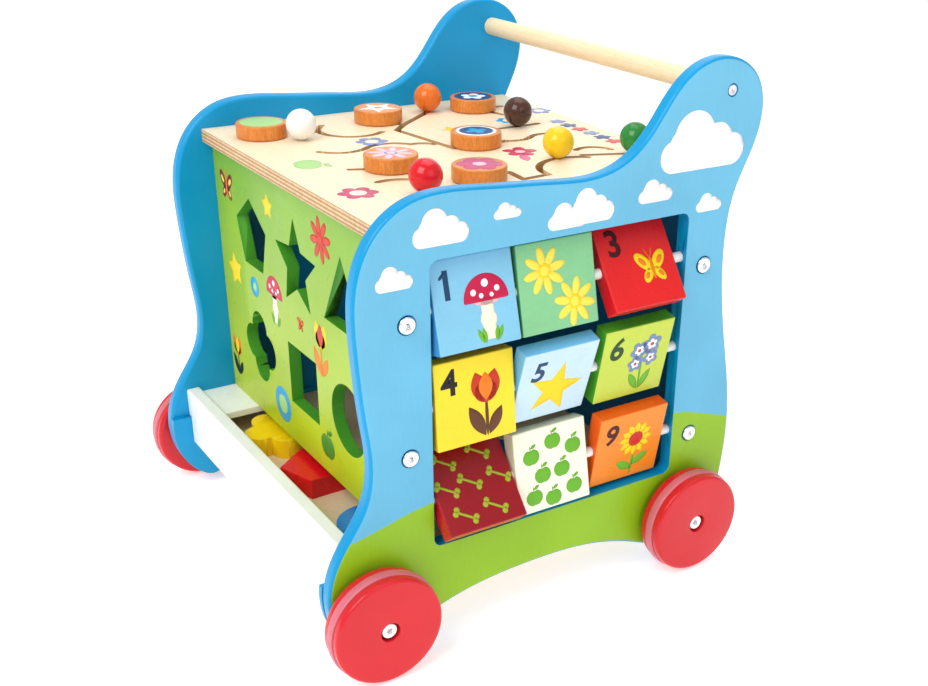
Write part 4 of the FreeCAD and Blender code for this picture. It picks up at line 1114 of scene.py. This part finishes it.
def disc_face(node):
    """The top of a beech disc."""
    return face((*middle(node)[:2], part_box(node)[1].z / MM), (1, 0, 0), (0, 1, 0), (0, 0, 1))


def disc_picture(node, layers):
    """The picture of a disc, from layers of (outline, ink, turn) named from the wood up."""
    ride_print(node, [(patch(disc_face(node), outline, layer=number, turn=turn), colour)
                      for number, (outline, colour, turn) in enumerate(layers, start=1)])


disc_picture("green_disc", [(disc(18.4, 64), "pale_leaf", 0)])
disc_picture("orange_disc", [(star(18, 8.4), "white", 30), (disc(3.6), "orange", 0)])
disc_picture("navy_disc", [(disc(17.6, 64), "navy", 0), (blossom(12, 6, 5), "white", 0),
                           (disc(4.4), "sky", 0)])
disc_picture("blue_flower_disc", [(disc(17.2, 64), "white", 0), (disc(14.4, 64), "navy", 0),
                                  (blossom(9.5, 3.4, 4), "sky", 0)])
ride_print("pink_ring_disc", daisy(disc_face("pink_ring_disc"), (0, 0), 17.5, "pale_pink", "grey_blue", 10))
disc_picture("pink_flower_disc", [(blossom(18, 13, 6), "rose", 0), (disc(5.4), "pale_pink", 0)])

# %% [markdown]
# ## Light, floor and camera
#
# The walker stands on a plain pale floor under broad soft lamps, so that its colours read clearly
# and the shadows stay light.

# %% Floor and lamps
floor_mesh = bpy.data.meshes.new("studio_floor")
floor_mesh.from_pydata([(-30, -30, 0), (30, -30, 0), (30, 30, 0), (-30, 30, 0)], [], [(0, 1, 2, 3)])
studio_floor = bpy.data.objects.new("studio_floor", floor_mesh)
bpy.context.scene.collection.objects.link(studio_floor)
floor_finish, _, floor_join = new_material("studio_floor_finish")
for socket, value in (("Base Color", (0.93, 0.93, 0.93, 1.0)), ("Roughness", 0.7),
                      ("Emission Color", (1.0, 1.0, 1.0, 1.0)), ("Emission Strength", 0.42)):
    floor_join(value, socket)
floor_mesh.materials.append(floor_finish)
studio_floor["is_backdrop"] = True

world = bpy.data.worlds.new("studio_world")
bpy.context.scene.world = world
world.use_nodes = True
world.node_tree.nodes["Background"].inputs["Color"].default_value = (1.0, 1.0, 1.0, 1.0)
world.node_tree.nodes["Background"].inputs["Strength"].default_value = 0.62
seen = world.node_tree.nodes.new("ShaderNodeBackground")
seen.inputs["Color"].default_value = (1.0, 1.0, 1.0, 1.0)
choose = world.node_tree.nodes.new("ShaderNodeMixShader")
ray = world.node_tree.nodes.new("ShaderNodeLightPath")
wire = world.node_tree.links.new
wire(ray.outputs["Is Camera Ray"], choose.inputs[0])
wire(world.node_tree.nodes["Background"].outputs[0], choose.inputs[1])
wire(seen.outputs[0], choose.inputs[2])
wire(choose.outputs[0], world.node_tree.nodes["World Output"].inputs["Surface"])


def lamp(name, place, aim, size, power):
    """A square soft lamp that faces a point."""
    data = bpy.data.lights.new(name, "AREA")
    data.size = size
    data.energy = power
    light = bpy.data.objects.new(name, data)
    light.location = place
    light.rotation_euler = (Vector(aim) - Vector(place)).to_track_quat("-Z", "Y").to_euler()
    bpy.context.scene.collection.objects.link(light)


lamp("key_lamp", (0.5, -1.3, 1.6), (0, 0, 0.2), 1.2, 22)
lamp("side_lamp", (1.7, 0.2, 1.1), (0, 0, 0.2), 1.2, 4)
lamp("top_lamp", (-0.3, 0.4, 1.9), (0, 0, 0.2), 1.4, 11)
lamp("back_lamp", (-1.4, 1.3, 1.0), (0, 0, 0.2), 1.4, 6)
bpy.context.scene.view_settings.view_transform = "Standard"

# %% [markdown]
# The camera stands off the corner between the sorter and the tile window, above the top board,
# with a touch of roll.


# %% Camera
def look(azimuth, elevation, roll):
    """Rotation of a camera that looks back along an azimuth and an elevation, with a roll."""
    a, e, r = (math.radians(v) for v in (azimuth, elevation, roll))
    back = Vector((math.sin(a) * math.cos(e), -math.cos(a) * math.cos(e), math.sin(e)))
    right = Vector((math.cos(a), math.sin(a), 0.0))
    up = back.cross(right)
    turned_right = right * math.cos(r) + up * math.sin(r)
    turned_up = up * math.cos(r) - right * math.sin(r)
    return Matrix((turned_right, turned_up, back)).transposed()


camera_data = bpy.data.cameras.new("camera")
camera = bpy.data.objects.new("camera", camera_data)
bpy.context.scene.collection.objects.link(camera)
camera_data.sensor_width = 36.0
camera_data.lens = 47.34
camera_data.shift_x = -0.069
camera_data.shift_y = 0.102
camera_data.clip_start = 0.05
camera.rotation_mode = "QUATERNION"
camera.rotation_quaternion = look(55.92, 27.10, 1.23).to_quaternion()
camera.location = (0.8782, -0.3346 + AXLE_Y, 0.5924)
bpy.context.scene.camera = camera

# %% Print the finished box
low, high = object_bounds()
print("finished box", [round(v, 4) for v in low], [round(v, 4) for v in high])
